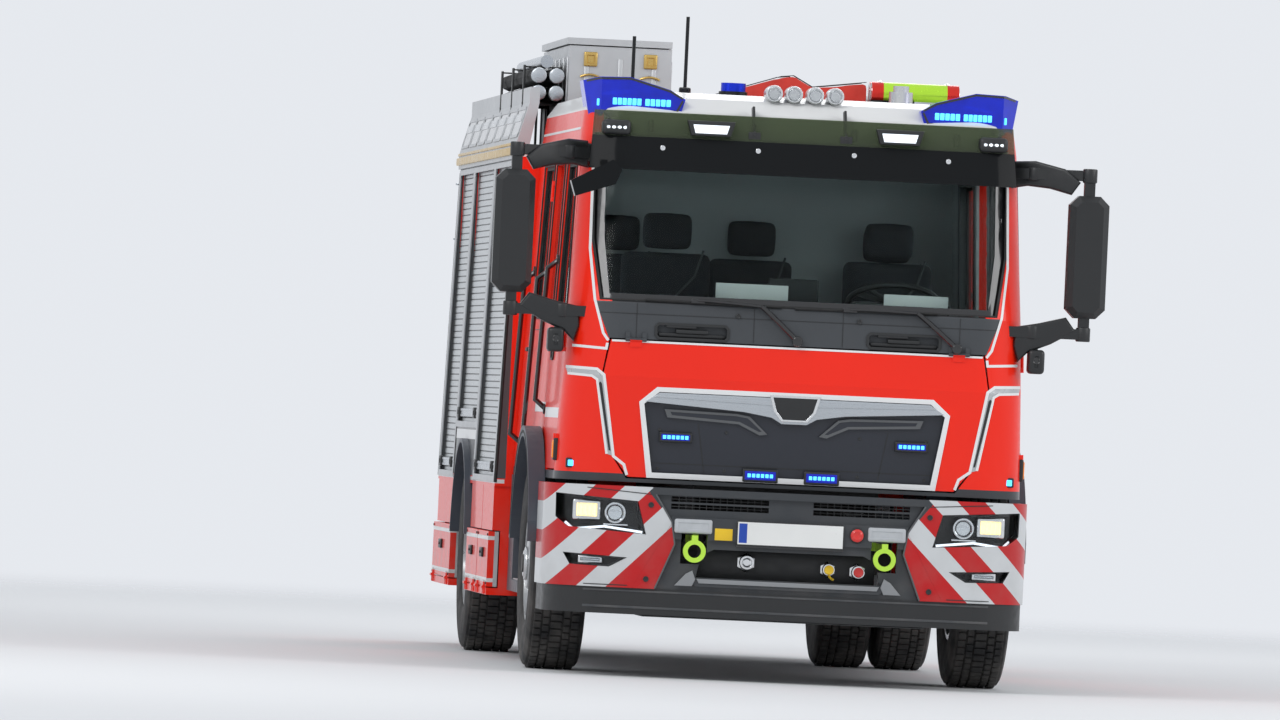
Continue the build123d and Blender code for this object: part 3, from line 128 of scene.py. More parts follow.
# ---------------------------------------------------------------- finishes
class Finish:
    """Procedural material whose shader nodes are added one by one."""

    def __init__(self, name, colour, rough=0.5, metal=0.0, coat=0.0, coat_rough=0.05, ior=1.5):
        self.material = bpy.data.materials.new(name)
        self.material.use_nodes = True
        self.tree = self.material.node_tree
        self.shader = self.tree.nodes["Principled BSDF"]
        self.colour = colour
        self.shader.inputs["Metallic"].default_value = metal
        self.shader.inputs["Roughness"].default_value = rough
        self.shader.inputs["Coat Weight"].default_value = coat
        self.shader.inputs["Coat Roughness"].default_value = coat_rough
        self.shader.inputs["IOR"].default_value = ior
        self.rough = rough
        self.place = self.tree.nodes.new("ShaderNodeTexCoord").outputs["Object"]
        split = self.tree.nodes.new("ShaderNodeSeparateXYZ")
        self.tree.links.new(self.place, split.inputs[0])
        self.x, self.y, self.z = split.outputs
        self.side = self.math("ABSOLUTE", self.x)
        self.last = self.rgb(colour)

    def rgb(self, colour):
        node = self.tree.nodes.new("ShaderNodeRGB")
        node.outputs[0].default_value = (*colour, 1.0)
        return node.outputs[0]

    def put(self, socket, value):
        if isinstance(value, (int, float)):
            socket.default_value = value
        else:
            self.tree.links.new(value, socket)

    def math(self, operation, first, second=0.0, third=0.0):
        node = self.tree.nodes.new("ShaderNodeMath")
        node.operation = operation
        for socket, value in zip(node.inputs, (first, second, third)):
            self.put(socket, value)
        return node.outputs[0]

    def above(self, value, limit):
        return self.math("GREATER_THAN", value, limit)

    def below(self, value, limit):
        return self.math("LESS_THAN", value, limit)

    def both(self, *masks):
        result = masks[0]
        for mask in masks[1:]:
            result = self.math("MULTIPLY", result, mask)
        return result

    def either(self, *masks):
        result = masks[0]
        for mask in masks[1:]:
            result = self.math("MAXIMUM", result, mask)
        return result

    def within(self, value, low, high):
        return self.math("COMPARE", value, (low + high) / 2, (high - low) / 2)

    def noise(self, scale, detail=3.0, stretch=None):
        texture = self.tree.nodes.new("ShaderNodeTexNoise")
        texture.inputs["Scale"].default_value = scale
        texture.inputs["Detail"].default_value = detail
        source = self.place
        if stretch:
            mapping = self.tree.nodes.new("ShaderNodeMapping")
            mapping.inputs["Scale"].default_value = stretch
            self.tree.links.new(self.place, mapping.inputs["Vector"])
            source = mapping.outputs[0]
        self.tree.links.new(source, texture.inputs["Vector"])
        return texture.outputs["Fac"]

    def ramp(self, value, low, high, start=0.0, end=1.0):
        node = self.tree.nodes.new("ShaderNodeMapRange")
        for socket, number in zip(node.inputs[:5], (value, low, high, start, end)):
            self.put(socket, number)
        return node.outputs[0]

    def paint_over(self, mask, colour):
        """Another colour where the mask is 1."""
        node = self.tree.nodes.new("ShaderNodeMix")
        node.data_type = "RGBA"
        self.put(node.inputs["Factor"], mask)
        self.tree.links.new(self.last, node.inputs["A"])
        if isinstance(colour, tuple):
            node.inputs["B"].default_value = (*colour, 1.0)
        else:
            self.tree.links.new(colour, node.inputs["B"])
        self.last = node.outputs["Result"]
        return self

    def mottle(self, amount=0.06, scale=3.0):
        """Slight, broad change of brightness."""
        node = self.tree.nodes.new("ShaderNodeHueSaturation")
        self.tree.links.new(self.last, node.inputs["Color"])
        self.put(node.inputs["Value"], self.ramp(self.noise(scale), 0.3, 0.7, 1.0 - amount, 1.0 + amount))
        self.last = node.outputs["Color"]
        return self

    def dust(self, top=1.1, strength=0.35, colour=(0.23, 0.21, 0.19)):
        """Road dust that thins out with height."""
        fade = self.ramp(self.z, 0.15, top, strength, 0.0)
        return self.paint_over(self.math("MULTIPLY", fade, self.ramp(self.noise(7.0, 6.0), 0.35, 0.7)), colour)

    def grain(self, strength=0.1, scale=900.0, distance=0.001, stretch=None, detail=2.0):
        """Fine surface grain as bump."""
        return self.relief(self.noise(scale, detail, stretch), strength, distance)

    def relief(self, height, strength=0.3, distance=0.002):
        bump = self.tree.nodes.new("ShaderNodeBump")
        bump.inputs["Strength"].default_value = strength
        bump.inputs["Distance"].default_value = distance
        self.put(bump.inputs["Height"], height)
        if self.shader.inputs["Normal"].is_linked:
            self.tree.links.new(self.shader.inputs["Normal"].links[0].from_socket, bump.inputs["Normal"])
        self.tree.links.new(bump.outputs[0], self.shader.inputs["Normal"])
        return self

    def polish(self, spread=0.08, scale=25.0, stretch=None):
        """Roughness that varies over the surface."""
        value = self.ramp(self.noise(scale, 4.0, stretch), 0.3, 0.7, self.rough - spread, self.rough + spread)
        self.put(self.shader.inputs["Roughness"], value)
        return self

    def glow(self, mask, colour, strength):
        self.shader.inputs["Emission Color"].default_value = (*colour, 1.0)
        self.put(self.shader.inputs["Emission Strength"], self.math("MULTIPLY", mask, strength))
        return self

    def done(self):
        self.tree.links.new(self.last, self.shader.inputs["Base Color"])
        return self.material


red = (0.93, 0.020, 0.004)
white = (0.76, 0.765, 0.76)
slate = (0.045, 0.050, 0.056)
black = (0.012, 0.012, 0.013)
silver = (0.50, 0.52, 0.53)


def plain(name, colour, rough, metal=0.0, coat=0.0, grain=0.06, scale=600.0, dust=0.0, mottle=0.05):
    """Finish of one colour with mottle, varied polish, grain and dust."""
    finish = Finish(name, colour, rough, metal, coat).mottle(mottle)
    if dust:
        finish.dust(strength=dust)
    return finish.polish(min(0.08, rough / 2)).grain(grain, scale).done()


def lacquer(name, colour, *areas, dust=0.25):
    """Glossy vehicle paint; areas are pairs of a mask maker and a colour."""
    finish = Finish(name, colour, 0.36, coat=0.28, coat_rough=0.05)
    finish.shader.inputs["Specular IOR Level"].default_value = 0.22
    for mask, paint in areas:
        finish.paint_over(mask(finish), paint)
    return finish.mottle(0.03, 1.5).dust(strength=dust).polish(0.05, 40.0).grain(0.04, 260.0, 0.0006).done()


def cab_inside(f):
    """Faces that look into the cab: trim instead of paint."""
    lean = f.math("SUBTRACT", 1.16 + 0.96 * 0.0433 - 0.045, f.math("MULTIPLY", f.z, 0.0433))
    nose = f.math("ADD", f.math("MULTIPLY", f.math("MAXIMUM", f.math("SUBTRACT", f.z, 1.84), 0.0), 0.287), front + 0.14)
    corner = f.math("ADD", f.math("SUBTRACT", lean, f.side), f.math("SUBTRACT", f.y, nose))
    return f.both(f.math("LESS_THAN", f.side, lean), f.math("GREATER_THAN", f.y, nose), f.above(corner, 0.085),
                  f.below(f.z, 2.78),
                  f.below(f.y, -0.74), f.above(f.z, 1.12))


def striped(f):
    """Diagonal reflective stripes that rise towards the middle of the bumper."""
    run = f.math("DIVIDE", f.math("SUBTRACT", f.math("ADD", f.side, f.z), 1.335), 0.285)
    return f.both(f.math("LESS_THAN", f.math("FRACT", f.math("ADD", run, 4.0)), 0.5), f.above(run, 0.0))


cab_paint = lacquer(
    "cab_lacquer", red,
    (lambda f: f.above(f.z, 2.79), white),
    (lambda f: f.below(f.z, 1.0), slate),
    (lambda f: f.both(f.within(f.z, 1.659, 1.90), f.below(f.side, 0.925), f.below(f.y, front + 0.32)), black),
    # Olive band on the cab's upper front face behind the sun visor: painted shade that the visor casts there, not a
    # paint colour of the cab
    (lambda f: f.both(f.within(f.z, 2.62, 2.79), f.below(f.side, 0.985), f.below(f.y, front + 0.75)),
     (0.17, 0.20, 0.13)),
    (cab_inside, (0.50, 0.52, 0.53)),
    (lambda f: f.both(cab_inside(f), f.below(f.y, front + 0.60)), (0.035, 0.037, 0.040)),
)
door_paint = lacquer(
    "door_lacquer", red,
    (lambda f: f.math("LESS_THAN", f.side, f.math("SUBTRACT", 1.16 + 0.96 * 0.0433 - 0.014,
                                                  f.math("MULTIPLY", f.z, 0.0433))), (0.06, 0.062, 0.065)),
)
stripe_foil = lacquer("striped_corner_foil", (0.52, 0.008, 0.010), (lambda f: striped(f), (0.62, 0.64, 0.65)))
grille_plastic = plain("grille_moulding", (0.018, 0.021, 0.030), 0.38, grain=0.12, scale=700.0)
flap_paint = lacquer("flap_lacquer", red, (lambda f: f.above(f.z, 1.660), slate))
body_paint = lacquer(
    "body_lacquer", red,
    (lambda f: f.both(f.within(f.z, 0.93, 2.59), f.above(f.side, 1.195)), (0.085, 0.09, 0.095)),
    (lambda f: f.above(f.z, 2.59), white),
    (lambda f: f.both(f.within(f.z, 0.905, 0.925), f.above(f.side, 1.2)), white),
    (lambda f: f.both(f.below(f.side, 1.19), f.below(f.y, 3.87), f.above(f.y, body_start + 0.03),
                      f.below(f.z, 2.58)), (0.42, 0.43, 0.44)),
)
step_paint = lacquer(
    "step_lacquer", red,
    (lambda f: f.either(f.within(f.z, 0.395, 0.415), f.within(f.z, 0.612, 0.632)), white),
    (lambda f: f.below(f.side, 1.235), silver), dust=0.45,
)
bumper_paint = lacquer(
    "bumper_lacquer", slate,
    (lambda f: f.either(
        f.both(f.above(f.z, 0.77), f.math("GREATER_THAN", f.side, f.ramp(f.z, 0.77, 0.94, 0.582, 0.72))),
        f.both(f.below(f.z, 0.771), f.math("GREATER_THAN", f.side, f.ramp(f.z, 0.44, 0.77, 0.76, 0.582)))),
        (0.52, 0.008, 0.010)),
    (lambda f: f.both(striped(f), f.math("GREATER_THAN", f.side, f.math(
        "ADD", 0.582, f.math("MULTIPLY", f.math("ABSOLUTE", f.math("SUBTRACT", f.z, 0.77)), 0.6)))),
        (0.62, 0.64, 0.65)),
)
slate_plastic = plain("slate_moulded_plastic", slate, 0.5, grain=0.25, scale=700.0, dust=0.3)
black_plastic = plain("black_moulded_plastic", (0.016, 0.017, 0.018), 0.42, grain=0.2, scale=800.0)
mirror_plastic = plain("mirror_housing_plastic", (0.014, 0.015, 0.016), 0.36, grain=0.3, scale=900.0)
rubber = plain("seal_rubber", (0.012, 0.012, 0.012), 0.7, grain=0.15, scale=500.0)
trim_white = lacquer("contour_white", (0.82, 0.83, 0.83), dust=0.1)
trim_silver = plain("duct_silver", (0.48, 0.50, 0.51), 0.3, 0.55, 0.3, grain=0.04)
chrome = plain("bright_chrome", (0.72, 0.73, 0.74), 0.12, 1.0, grain=0.02)
satin_metal = Finish("brushed_satin_bar", (0.50, 0.53, 0.56), 0.28, 0.85).polish(0.06, 300.0, (0.02, 1, 1)).grain(
    0.05, 400.0, 0.0005, (0.02, 1, 1)).done()
chassis_paint = plain("chassis_enamel", (0.03, 0.03, 0.032), 0.5, grain=0.3, scale=250.0, dust=0.5)
cast_paint = plain("cast_axle_enamel", (0.022, 0.022, 0.024), 0.6, grain=0.6, scale=180.0, dust=0.55)
lime_paint = plain("lime_signal_paint", (0.52, 0.85, 0.06), 0.4, coat=0.5, grain=0.1)
tow_paint = Finish("tow_ring_paint", (0.52, 0.85, 0.06), 0.4, coat=0.3)
tow_paint.paint_over(tow_paint.above(tow_paint.y, 0.0), (0.03, 0.03, 0.032))
tow_paint = tow_paint.mottle(0.05).polish(0.06).grain(0.1).done()
fender_plastic = plain("fender_plastic", (0.050, 0.060, 0.080), 0.42, grain=0.12, scale=600.0, dust=0.3)
slat_metal = Finish("shutter_aluminium", (0.56, 0.58, 0.59), 0.34, 0.75)


def slat_joints(f, bottom, pitch, area):
    """Dark joint lines between the slats of one curtain."""
    run = f.math("FRACT", f.math("DIVIDE", f.math("SUBTRACT", f.z, bottom - 0.0035), pitch))
    return f.both(f.math("LESS_THAN", run, 0.0070 / pitch), area, f.above(f.z, bottom + 0.02), f.below(f.z, 2.558))


at_rear = slat_metal.above(slat_metal.y, rear - 0.045)
in_middle = slat_metal.within(slat_metal.y, front + 4.95, front + 6.58)
other_sides = slat_metal.math("SUBTRACT", 1.0, slat_metal.either(at_rear, in_middle))
for bottom, pitch, area in ((0.930, 1.630 / 49, other_sides), (1.200, 1.360 / 41, in_middle),
                            (1.060, 1.500 / 45, at_rear)):
    slat_metal.paint_over(slat_joints(slat_metal, bottom, pitch, area), (0.10, 0.105, 0.11))
slat_metal = slat_metal.mottle(0.02, 1.2).polish(0.08, 200.0,
                                                 (1, 0.03, 1)).grain(0.08, 500.0, 0.0004, (1, 0.03, 1)).done()
sheet_metal = plain("sheet_aluminium", (0.55, 0.56, 0.57), 0.42, 0.7, grain=0.12, scale=120.0, dust=0.1)
rim_paint = plain("wheel_silver", (0.42, 0.43, 0.44), 0.34, 0.7, 0.2, grain=0.15, scale=300.0, dust=0.4)
plate_white = plain("blank_plate", (0.80, 0.81, 0.79), 0.35, coat=0.3, grain=0.05)
seat_cloth = plain("seat_weave", (0.034, 0.037, 0.045), 0.9, grain=0.8, scale=1400.0)
grey_trim = plain("cab_trim_grey", (0.16, 0.165, 0.17), 0.65, grain=0.3, scale=900.0)


def clear(name, rough, tint, ior):
    """Glass or lens that light passes."""
    finish = Finish(name, tint, rough, ior=ior)
    finish.shader.inputs["Transmission Weight"].default_value = 1.0
    return finish.mottle(0.02, 2.0).grain(0.02, 3.0, 0.0004).done()


window_glass = clear("tinted_window_glass", 0.02, (0.70, 0.78, 0.77), 1.12)
lens_clear = clear("clear_lamp_lens", 0.03, (0.93, 0.95, 0.96), 1.2)
visor_smoke = Finish("smoked_visor_sheet", (0.20, 0.24, 0.16), 0.12, ior=1.15)
pod = visor_smoke.both(visor_smoke.below(visor_smoke.x, -0.88), visor_smoke.below(visor_smoke.z, 2.56))
dark_band = visor_smoke.within(visor_smoke.z, 2.48, 2.665)
visor_smoke.paint_over(visor_smoke.either(pod, dark_band), (0.012, 0.013, 0.014))
visor_smoke.put(visor_smoke.shader.inputs["Transmission Weight"],
                visor_smoke.math("MULTIPLY", visor_smoke.math("SUBTRACT", 1.0, visor_smoke.either(pod, dark_band)),
                                 0.8))
visor_smoke = visor_smoke.mottle(0.02, 2.0).grain(0.02, 3.0, 0.0004).done()
blue_lens = Finish("blue_lamp_lens", (0.003, 0.020, 0.50), 0.10, ior=1.45)
blue_lens.shader.inputs["Transmission Weight"].default_value = 0.35
blue_lens.shader.inputs["Emission Color"].default_value = (0.0, 0.015, 0.8, 1.0)
blue_lens.shader.inputs["Emission Strength"].default_value = 0.16
blue_lens = blue_lens.mottle(0.1, 20.0).relief(blue_lens.noise(160.0), 0.15, 0.001).done()

tyre_rubber = plain("tyre_rubber", (0.016, 0.016, 0.017), 0.78, grain=0.5, scale=350.0, dust=0.35)

lip_grey = plain("bumper_lip_grey", (0.26, 0.27, 0.28), 0.42, grain=0.15, scale=500.0)
trim_grey = plain("charcoal_edge_plastic", (0.10, 0.105, 0.11), 0.42, grain=0.15, scale=700.0)
black_gloss = plain("gloss_black_trim", (0.008, 0.008, 0.009), 0.14, coat=0.6, grain=0.02)
rim_bright = plain("polished_nut_steel", (0.60, 0.61, 0.62), 0.22, 0.95, grain=0.04, scale=200.0, dust=0.2)
tread_metal = Finish("tread_plate_aluminium", (0.50, 0.51, 0.52), 0.38, 0.8).mottle(0.06, 8.0)
tread_metal = tread_metal.relief(tread_metal.noise(38.0, 0.0, (1, 2.2, 1)), 0.5, 0.004).polish(0.08, 60.0).done()
brass = plain("brass_coloured_rail", (0.62, 0.42, 0.13), 0.3, 0.8, grain=0.05, scale=200.0)
mirror_glass = Finish("mirror_glass", (0.80, 0.82, 0.84), 0.02, 1.0).mottle(0.01).grain(0.004, 3.0).done()
label_yellow = plain("signal_yellow", (0.86, 0.56, 0.02), 0.4, grain=0.06)
button_red = plain("push_button_red", (0.70, 0.02, 0.015), 0.32, coat=0.5, grain=0.04)
strip_blue = plain("plate_strip_blue", (0.01, 0.06, 0.40), 0.4, grain=0.03)
seat_piping = plain("seat_piping", (0.09, 0.095, 0.10), 0.7, grain=0.3, scale=900.0)


def lamp(name, colour, strength, glow=None, rough=0.15):
    """Lens of a lamp that is lit or catches light."""
    finish = Finish(name, colour, rough, ior=1.45)
    cells = finish.ramp(finish.noise(220.0, 1.0), 0.35, 0.65, 0.75, 1.0)
    finish.glow(cells, glow or colour, strength)
    return finish.mottle(0.05, 30.0).relief(finish.noise(300.0, 1.0), 0.1, 0.0008).done()


blue_light = lamp("lit_blue_cells", (0.05, 0.40, 0.95), 2.0, (0.10, 0.55, 1.0))
white_light = lamp("white_light_strip", (0.82, 0.86, 0.90), 0.9, (0.85, 0.92, 1.0))
warm_light = lamp("lit_headlamp", (0.95, 0.80, 0.45), 1.3, (1.0, 0.78, 0.38))
orange_lens = lamp("orange_marker_lens", (0.85, 0.22, 0.01), 0.25)
red_lens = lamp("red_lamp_lens", (0.55, 0.01, 0.01), 0.12)
smoke_lens = lamp("pale_grey_lens", (0.46, 0.48, 0.50), 0.05)
cover_cloth = Finish("cover_weave", (0.62, 0.035, 0.02), 0.75).mottle(0.10, 9.0)
cover_cloth.shader.inputs["Sheen Weight"].default_value = 0.25
cover_cloth = cover_cloth.relief(cover_cloth.noise(900.0, 2.0, (1, 0.2, 1)), 0.4, 0.001).relief(
    cover_cloth.noise(14.0, 3.0), 0.35, 0.006).polish(0.06, 60.0).done()

roof_gear = Finish("roof_gear_finishes", (0.62, 0.63, 0.64), 0.22, 0.55)
tubes_zone = roof_gear.both(roof_gear.above(roof_gear.x, 0.39), roof_gear.above(roof_gear.z, 2.921),
                            roof_gear.above(roof_gear.y, front + 1.05))
roof_gear.paint_over(roof_gear.both(roof_gear.above(roof_gear.y, front + 0.7), roof_gear.below(roof_gear.x, 0.62)),
                     (0.016, 0.017, 0.018))
roof_gear.paint_over(roof_gear.both(roof_gear.within(roof_gear.x, -0.376, -0.244),
                                    roof_gear.within(roof_gear.y, front + 0.8, front + 1.0),
                                    roof_gear.above(roof_gear.z, 2.923)), (0.004, 0.03, 0.62))
roof_gear.paint_over(roof_gear.both(roof_gear.within(roof_gear.x, 0.46, 0.60),
                                    roof_gear.within(roof_gear.y, front + 0.8, front + 1.0)),
                     (0.60, 0.61, 0.61))
roof_gear.paint_over(tubes_zone, (0.50, 0.84, 0.05))
roof_gear.paint_over(roof_gear.both(tubes_zone, roof_gear.above(roof_gear.math("ABSOLUTE", roof_gear.math("SUBTRACT", roof_gear.x, 0.625)), 0.16)),
                     (0.70, 0.03, 0.02))
roof_gear = roof_gear.mottle(0.04, 12.0).polish(0.06, 80.0).grain(0.06, 400.0).done()

finishes = {
    "chassis_frame": chassis_paint, "front_axle": cast_paint, "rear_axle": cast_paint, "powertrain": cast_paint,
    "tanks": sheet_metal, "front_bumper": bumper_paint, "front_skirt": black_plastic, "lamps": lens_clear,
    "number_plates": plate_white, "tow_points": tow_paint, "mudguards": fender_plastic,
    "rear_bumper": chassis_paint, "cab_shell": cab_paint, "cab_glass": window_glass, "cowl": slate_plastic,
    "sun_visor": visor_smoke, "dashboard": black_plastic, "seats": seat_cloth, "mirrors": mirror_plastic,
    "warning_lights": blue_lens, "roof_equipment": roof_gear, "roof_cover": cover_cloth, "body_shell": body_paint,
    "body_base": body_paint,
    "low_lockers_left": body_paint, "low_lockers_right": body_paint, "shutters": slat_metal,
    "roof_gallery": sheet_metal, "roof_box": sheet_metal, "ladders": sheet_metal, "roof_box_lid": sheet_metal,
    "front_flap": flap_paint, "grille": grille_plastic,
}
for name, node in nodes.items():
    if name.startswith("glass_"):
        finish = window_glass
    elif name.startswith("door_"):
        finish = door_paint
    elif name.startswith("tyre"):
        finish = tyre_rubber
    elif name.startswith("rim"):
        finish = rim_paint
    elif name.startswith("knuckle"):
        finish = cast_paint
    elif name.startswith("step_"):
        finish = step_paint
    else:
        finish = finishes.get(name, chassis_paint)
    node.data.materials.clear()
    node.data.materials.append(finish)


# ---------------------------------------------------------------- shaping
def take(shape=None):
    """Object mode with only this shape selected, or nothing."""
    if bpy.context.object and bpy.context.object.mode != "OBJECT":
        bpy.ops.object.mode_set(mode="OBJECT")
    bpy.ops.object.select_all(action="DESELECT")
    if shape:
        shape.select_set(True)
        bpy.context.view_layer.objects.active = shape
    return shape


def settle(shape, edge=0.0, segments=2, angle=32.0):
    """Place applied to the mesh, sharp edges rounded, flat runs shaded smooth."""
    take(shape)
    bpy.ops.object.transform_apply(location=True, rotation=True, scale=True)
    if edge:
        rounding = shape.modifiers.new("edge", "BEVEL")
        rounding.width, rounding.segments, rounding.limit_method = edge, segments, "ANGLE"
        bpy.ops.object.modifier_apply(modifier=rounding.name)
    bpy.ops.object.shade_smooth_by_angle(angle=math.radians(angle))
    return shape


def press(shape, test, steps):
    """Faces chosen by centre and normal, inset and pushed in step by step."""
    take(shape)
    mesh = shape.data
    for part in (mesh.vertices, mesh.edges, mesh.polygons):
        part.foreach_set("select", [False] * len(part))
    for face in mesh.polygons:
        face.select = test(face.center, face.normal)
    bpy.context.tool_settings.mesh_select_mode = (False, False, True)
    bpy.ops.object.mode_set(mode="EDIT")
    for inset, depth in steps:
        bpy.ops.mesh.inset(thickness=inset, depth=-depth)
    bpy.ops.object.mode_set(mode="OBJECT")
    return shape


def bar(x, y, z, edge=0.004, segments=2, face=None, steps=()):
    """Box between places on each axis with rounded edges; steps press in the faces that look along face."""
    take()
    middle = [(low + high) / 2 for low, high in (x, y, z)]
    bpy.ops.mesh.primitive_cube_add(size=1.0, location=middle, scale=[abs(high - low) for low, high in (x, y, z)])
    shape = settle(bpy.context.object, edge, segments)
    if steps:
        press(shape, lambda centre, normal: normal.dot(Vector(face)) > 0.99, steps)
        settle(shape)
    return shape


turns = {"X": (0.0, math.pi / 2, 0.0), "-Y": (math.pi / 2, 0.0, 0.0), "Y": (-math.pi / 2, 0.0, 0.0), "Z": (0, 0, 0)}
toward = {"X": (1, 0, 0), "-Y": (0, -1, 0), "Y": (0, 1, 0), "Z": (0, 0, 1)}


def disc(centre, radius, depth, axis="-Y", edge=0.002, steps=(), vertices=32):
    """Round piece along an axis whose far face is pressed in by steps."""
    take()
    bpy.ops.mesh.primitive_cylinder_add(vertices=vertices, radius=radius, depth=depth, location=centre,
                                        rotation=turns[axis])
    shape = settle(bpy.context.object, edge)
    if steps:
        aim = Vector(toward[axis])
        press(shape, lambda middle, normal: normal.dot(aim) > 0.99, steps)
        settle(shape)
    return shape


def tube(points, radius, cyclic=False, resolution=3, kind="POLY", widths=()):
    """Round bar along points; widths changes its thickness from point to point."""
    data = bpy.data.curves.new("tube", "CURVE")
    data.dimensions = "3D"
    data.bevel_depth, data.bevel_resolution, data.use_fill_caps = radius, resolution, not cyclic
    spline = data.splines.new(kind)
    spline.points.add(len(points) - 1)
    for point, place in zip(spline.points, points):
        point.co = (*place, 1.0)
    for point, width in zip(spline.points, widths):
        point.radius = width
    spline.use_cyclic_u = cyclic
    if kind == "NURBS":
        spline.order_u, spline.use_endpoint_u = 3, True
    shape = bpy.data.objects.new("tube", data)
    bpy.context.scene.collection.objects.link(shape)
    take(shape)
    bpy.ops.object.convert(target="MESH")
    return settle(bpy.context.object)


def flat(outline, thick=0.004, holes=(), edge=0.0, side=False):
    """Sheet filled inside an outline of (x, z), or (y, z) for a side of the vehicle."""
    data = bpy.data.curves.new("sheet", "CURVE")
    data.dimensions, data.fill_mode = "2D", "BOTH"
    data.extrude, data.bevel_depth, data.offset = thick / 2 - edge, edge, -edge
    for points in (outline, *holes):
        spline = data.splines.new("POLY")
        spline.points.add(len(points) - 1)
        for point, place in zip(spline.points, points):
            point.co = (place[0], place[1], 0.0, 1.0)
        spline.use_cyclic_u = True
    shape = bpy.data.objects.new("sheet", data)
    bpy.context.scene.collection.objects.link(shape)
    shape.rotation_euler = (math.pi / 2, 0.0, math.pi / 2 if side else 0.0)
    take(shape)
    bpy.ops.object.convert(target="MESH")
    shape = bpy.context.object
    bpy.ops.object.mode_set(mode="EDIT")
    bpy.ops.mesh.select_all(action="SELECT")
    bpy.ops.mesh.remove_doubles(threshold=0.00002)
    bpy.ops.mesh.normals_make_consistent(inside=False)
    return settle(shape)


cab_cuts_x = [s * x for s in (-1, 1) for x in (0.86, 0.90, 0.94, 0.98, 1.01, 1.04, 1.07, 1.09, 1.11, 1.125)]
cab_cuts_z = [section[0] for section in cab_sections]
bumper_cuts = [i * 0.1 for i in range(-9, 10)] + [s * x for s in (-1, 1) for x in (0.96, 1.0, 1.04, 1.08, 1.12, 1.16)]


def lay(shape, skin, cuts_x=(), cuts_z=(), axis=0):
    """Sheet cut at places and moved onto a skin: skin(a, z) gives its depth; axis 0 is the front, 1 a side."""
    take(shape)
    places = [v.co for v in shape.data.vertices]
    lows = [min(p[i] for p in places) for i in range(3)]
    highs = [max(p[i] for p in places) for i in range(3)]
    bpy.ops.object.mode_set(mode="EDIT")
    for direction, cuts in ((axis, cuts_x), (2, cuts_z)):
        for cut in cuts:
            if lows[direction] + 0.002 < cut < highs[direction] - 0.002:
                point, normal = [0.0] * 3, [0.0] * 3
                point[direction], normal[direction] = cut, 1.0
                bpy.ops.mesh.select_all(action="SELECT")
                bpy.ops.mesh.bisect(plane_co=point, plane_no=normal)
    bpy.ops.object.mode_set(mode="OBJECT")
    depth = 1 - axis
    for vertex in shape.data.vertices:
        vertex.co[depth] += skin(vertex.co[axis], vertex.co.z)
    return settle(shape)


def on_cab(outline, thick=0.004, holes=(), proud=None, edge=0.0):
    """Sheet laid on the front of the cab; proud is the height of its middle over the paint."""
    proud = thick / 2 if proud is None else proud
    return lay(flat(outline, thick, holes, edge), lambda x, z: cab_front(x, z) - proud, cab_cuts_x, cab_cuts_z)


def on_bumper(outline, thick=0.004, holes=(), proud=None, edge=0.0):
    """Sheet laid on the bumper."""
    proud = thick / 2 if proud is None else proud
    return lay(flat(outline, thick, holes, edge), lambda x, z: bumper_front(x) - proud, bumper_cuts)


def on_side(side, outline, flank, thick=0.004, holes=(), proud=None, edge=0.0, cuts=()):
    """Sheet laid on a side; flank(y, z) gives the half width there."""
    proud = thick / 2 if proud is None else proud
    return lay(flat(outline, thick, holes, edge, side=True), lambda y, z: side * (flank(y, z) + proud), cuts,
               cab_cuts_z, axis=1)


def band(points, width):
    """Outline of a stripe of even width along points, mitred at its corners."""
    rows = []
    for i, point in enumerate(points):
        before, after = points[max(i - 1, 0)], points[min(i + 1, len(points) - 1)]
        dirs = [Vector((b[0] - a[0], b[1] - a[1])).normalized()
                for a, b in ((before, point), (point, after)) if a != b]
        along = sum(dirs, Vector((0.0, 0.0))).normalized()
        reach = width / 2 / max(along.dot(dirs[0]), 0.4)
        rows.append((point[0] - along.y * reach, point[1] + along.x * reach,
                     point[0] + along.y * reach, point[1] - along.x * reach))
    return [(r[0], r[1]) for r in rows] + [(r[2], r[3]) for r in reversed(rows)]


def box_outline(low, high, cut=0.0):
    """Rectangle with its corners cut off."""
    (a, c), (b, d) = low, high
    if not cut:
        return [(a, c), (b, c), (b, d), (a, d)]
    return [(a + cut, c), (b - cut, c), (b, c + cut), (b, d - cut),
            (b - cut, d), (a + cut, d), (a, d - cut), (a, c + cut)]


def both_halves(points):
    """Closed outline from its right half, from the lower middle to the upper middle."""
    return points + [(-x, z) for x, z in reversed(points) if x > 0.0]


def flipped(points):
    return [(-a, b) for a, b in points]


def twin(shape):
    """The shape with its mirror image on the vehicle's other side."""
    take(shape)
    shape.modifiers.new("twin", "MIRROR")
    bpy.ops.object.modifier_apply(modifier="twin")
    return shape


def copies(shape, moves):
    """Copies of a shape, each with its own mesh, placed by matrices."""
    result = []
    for move in moves:
        copy = shape.copy()
        copy.data = shape.data.copy()
        copy.data.transform(move)
        bpy.context.scene.collection.objects.link(copy)
        result.append(copy)
    bpy.data.objects.remove(shape)
    return result


def shifts(*offsets):
    return [Matrix.Translation(offset) for offset in offsets]


def piece(name, parts, finish, body="vehicle"):
    """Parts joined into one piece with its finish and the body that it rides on."""
    take()
    for part in parts:
        part.select_set(True)
    bpy.context.view_layer.objects.active = parts[0]
    if len(parts) > 1:
        bpy.ops.object.join()
    whole = parts[0]
    whole.name = whole.data.name = name
    whole.data.materials.clear()
    whole.data.materials.append(finish)
    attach(whole, body)
    return whole


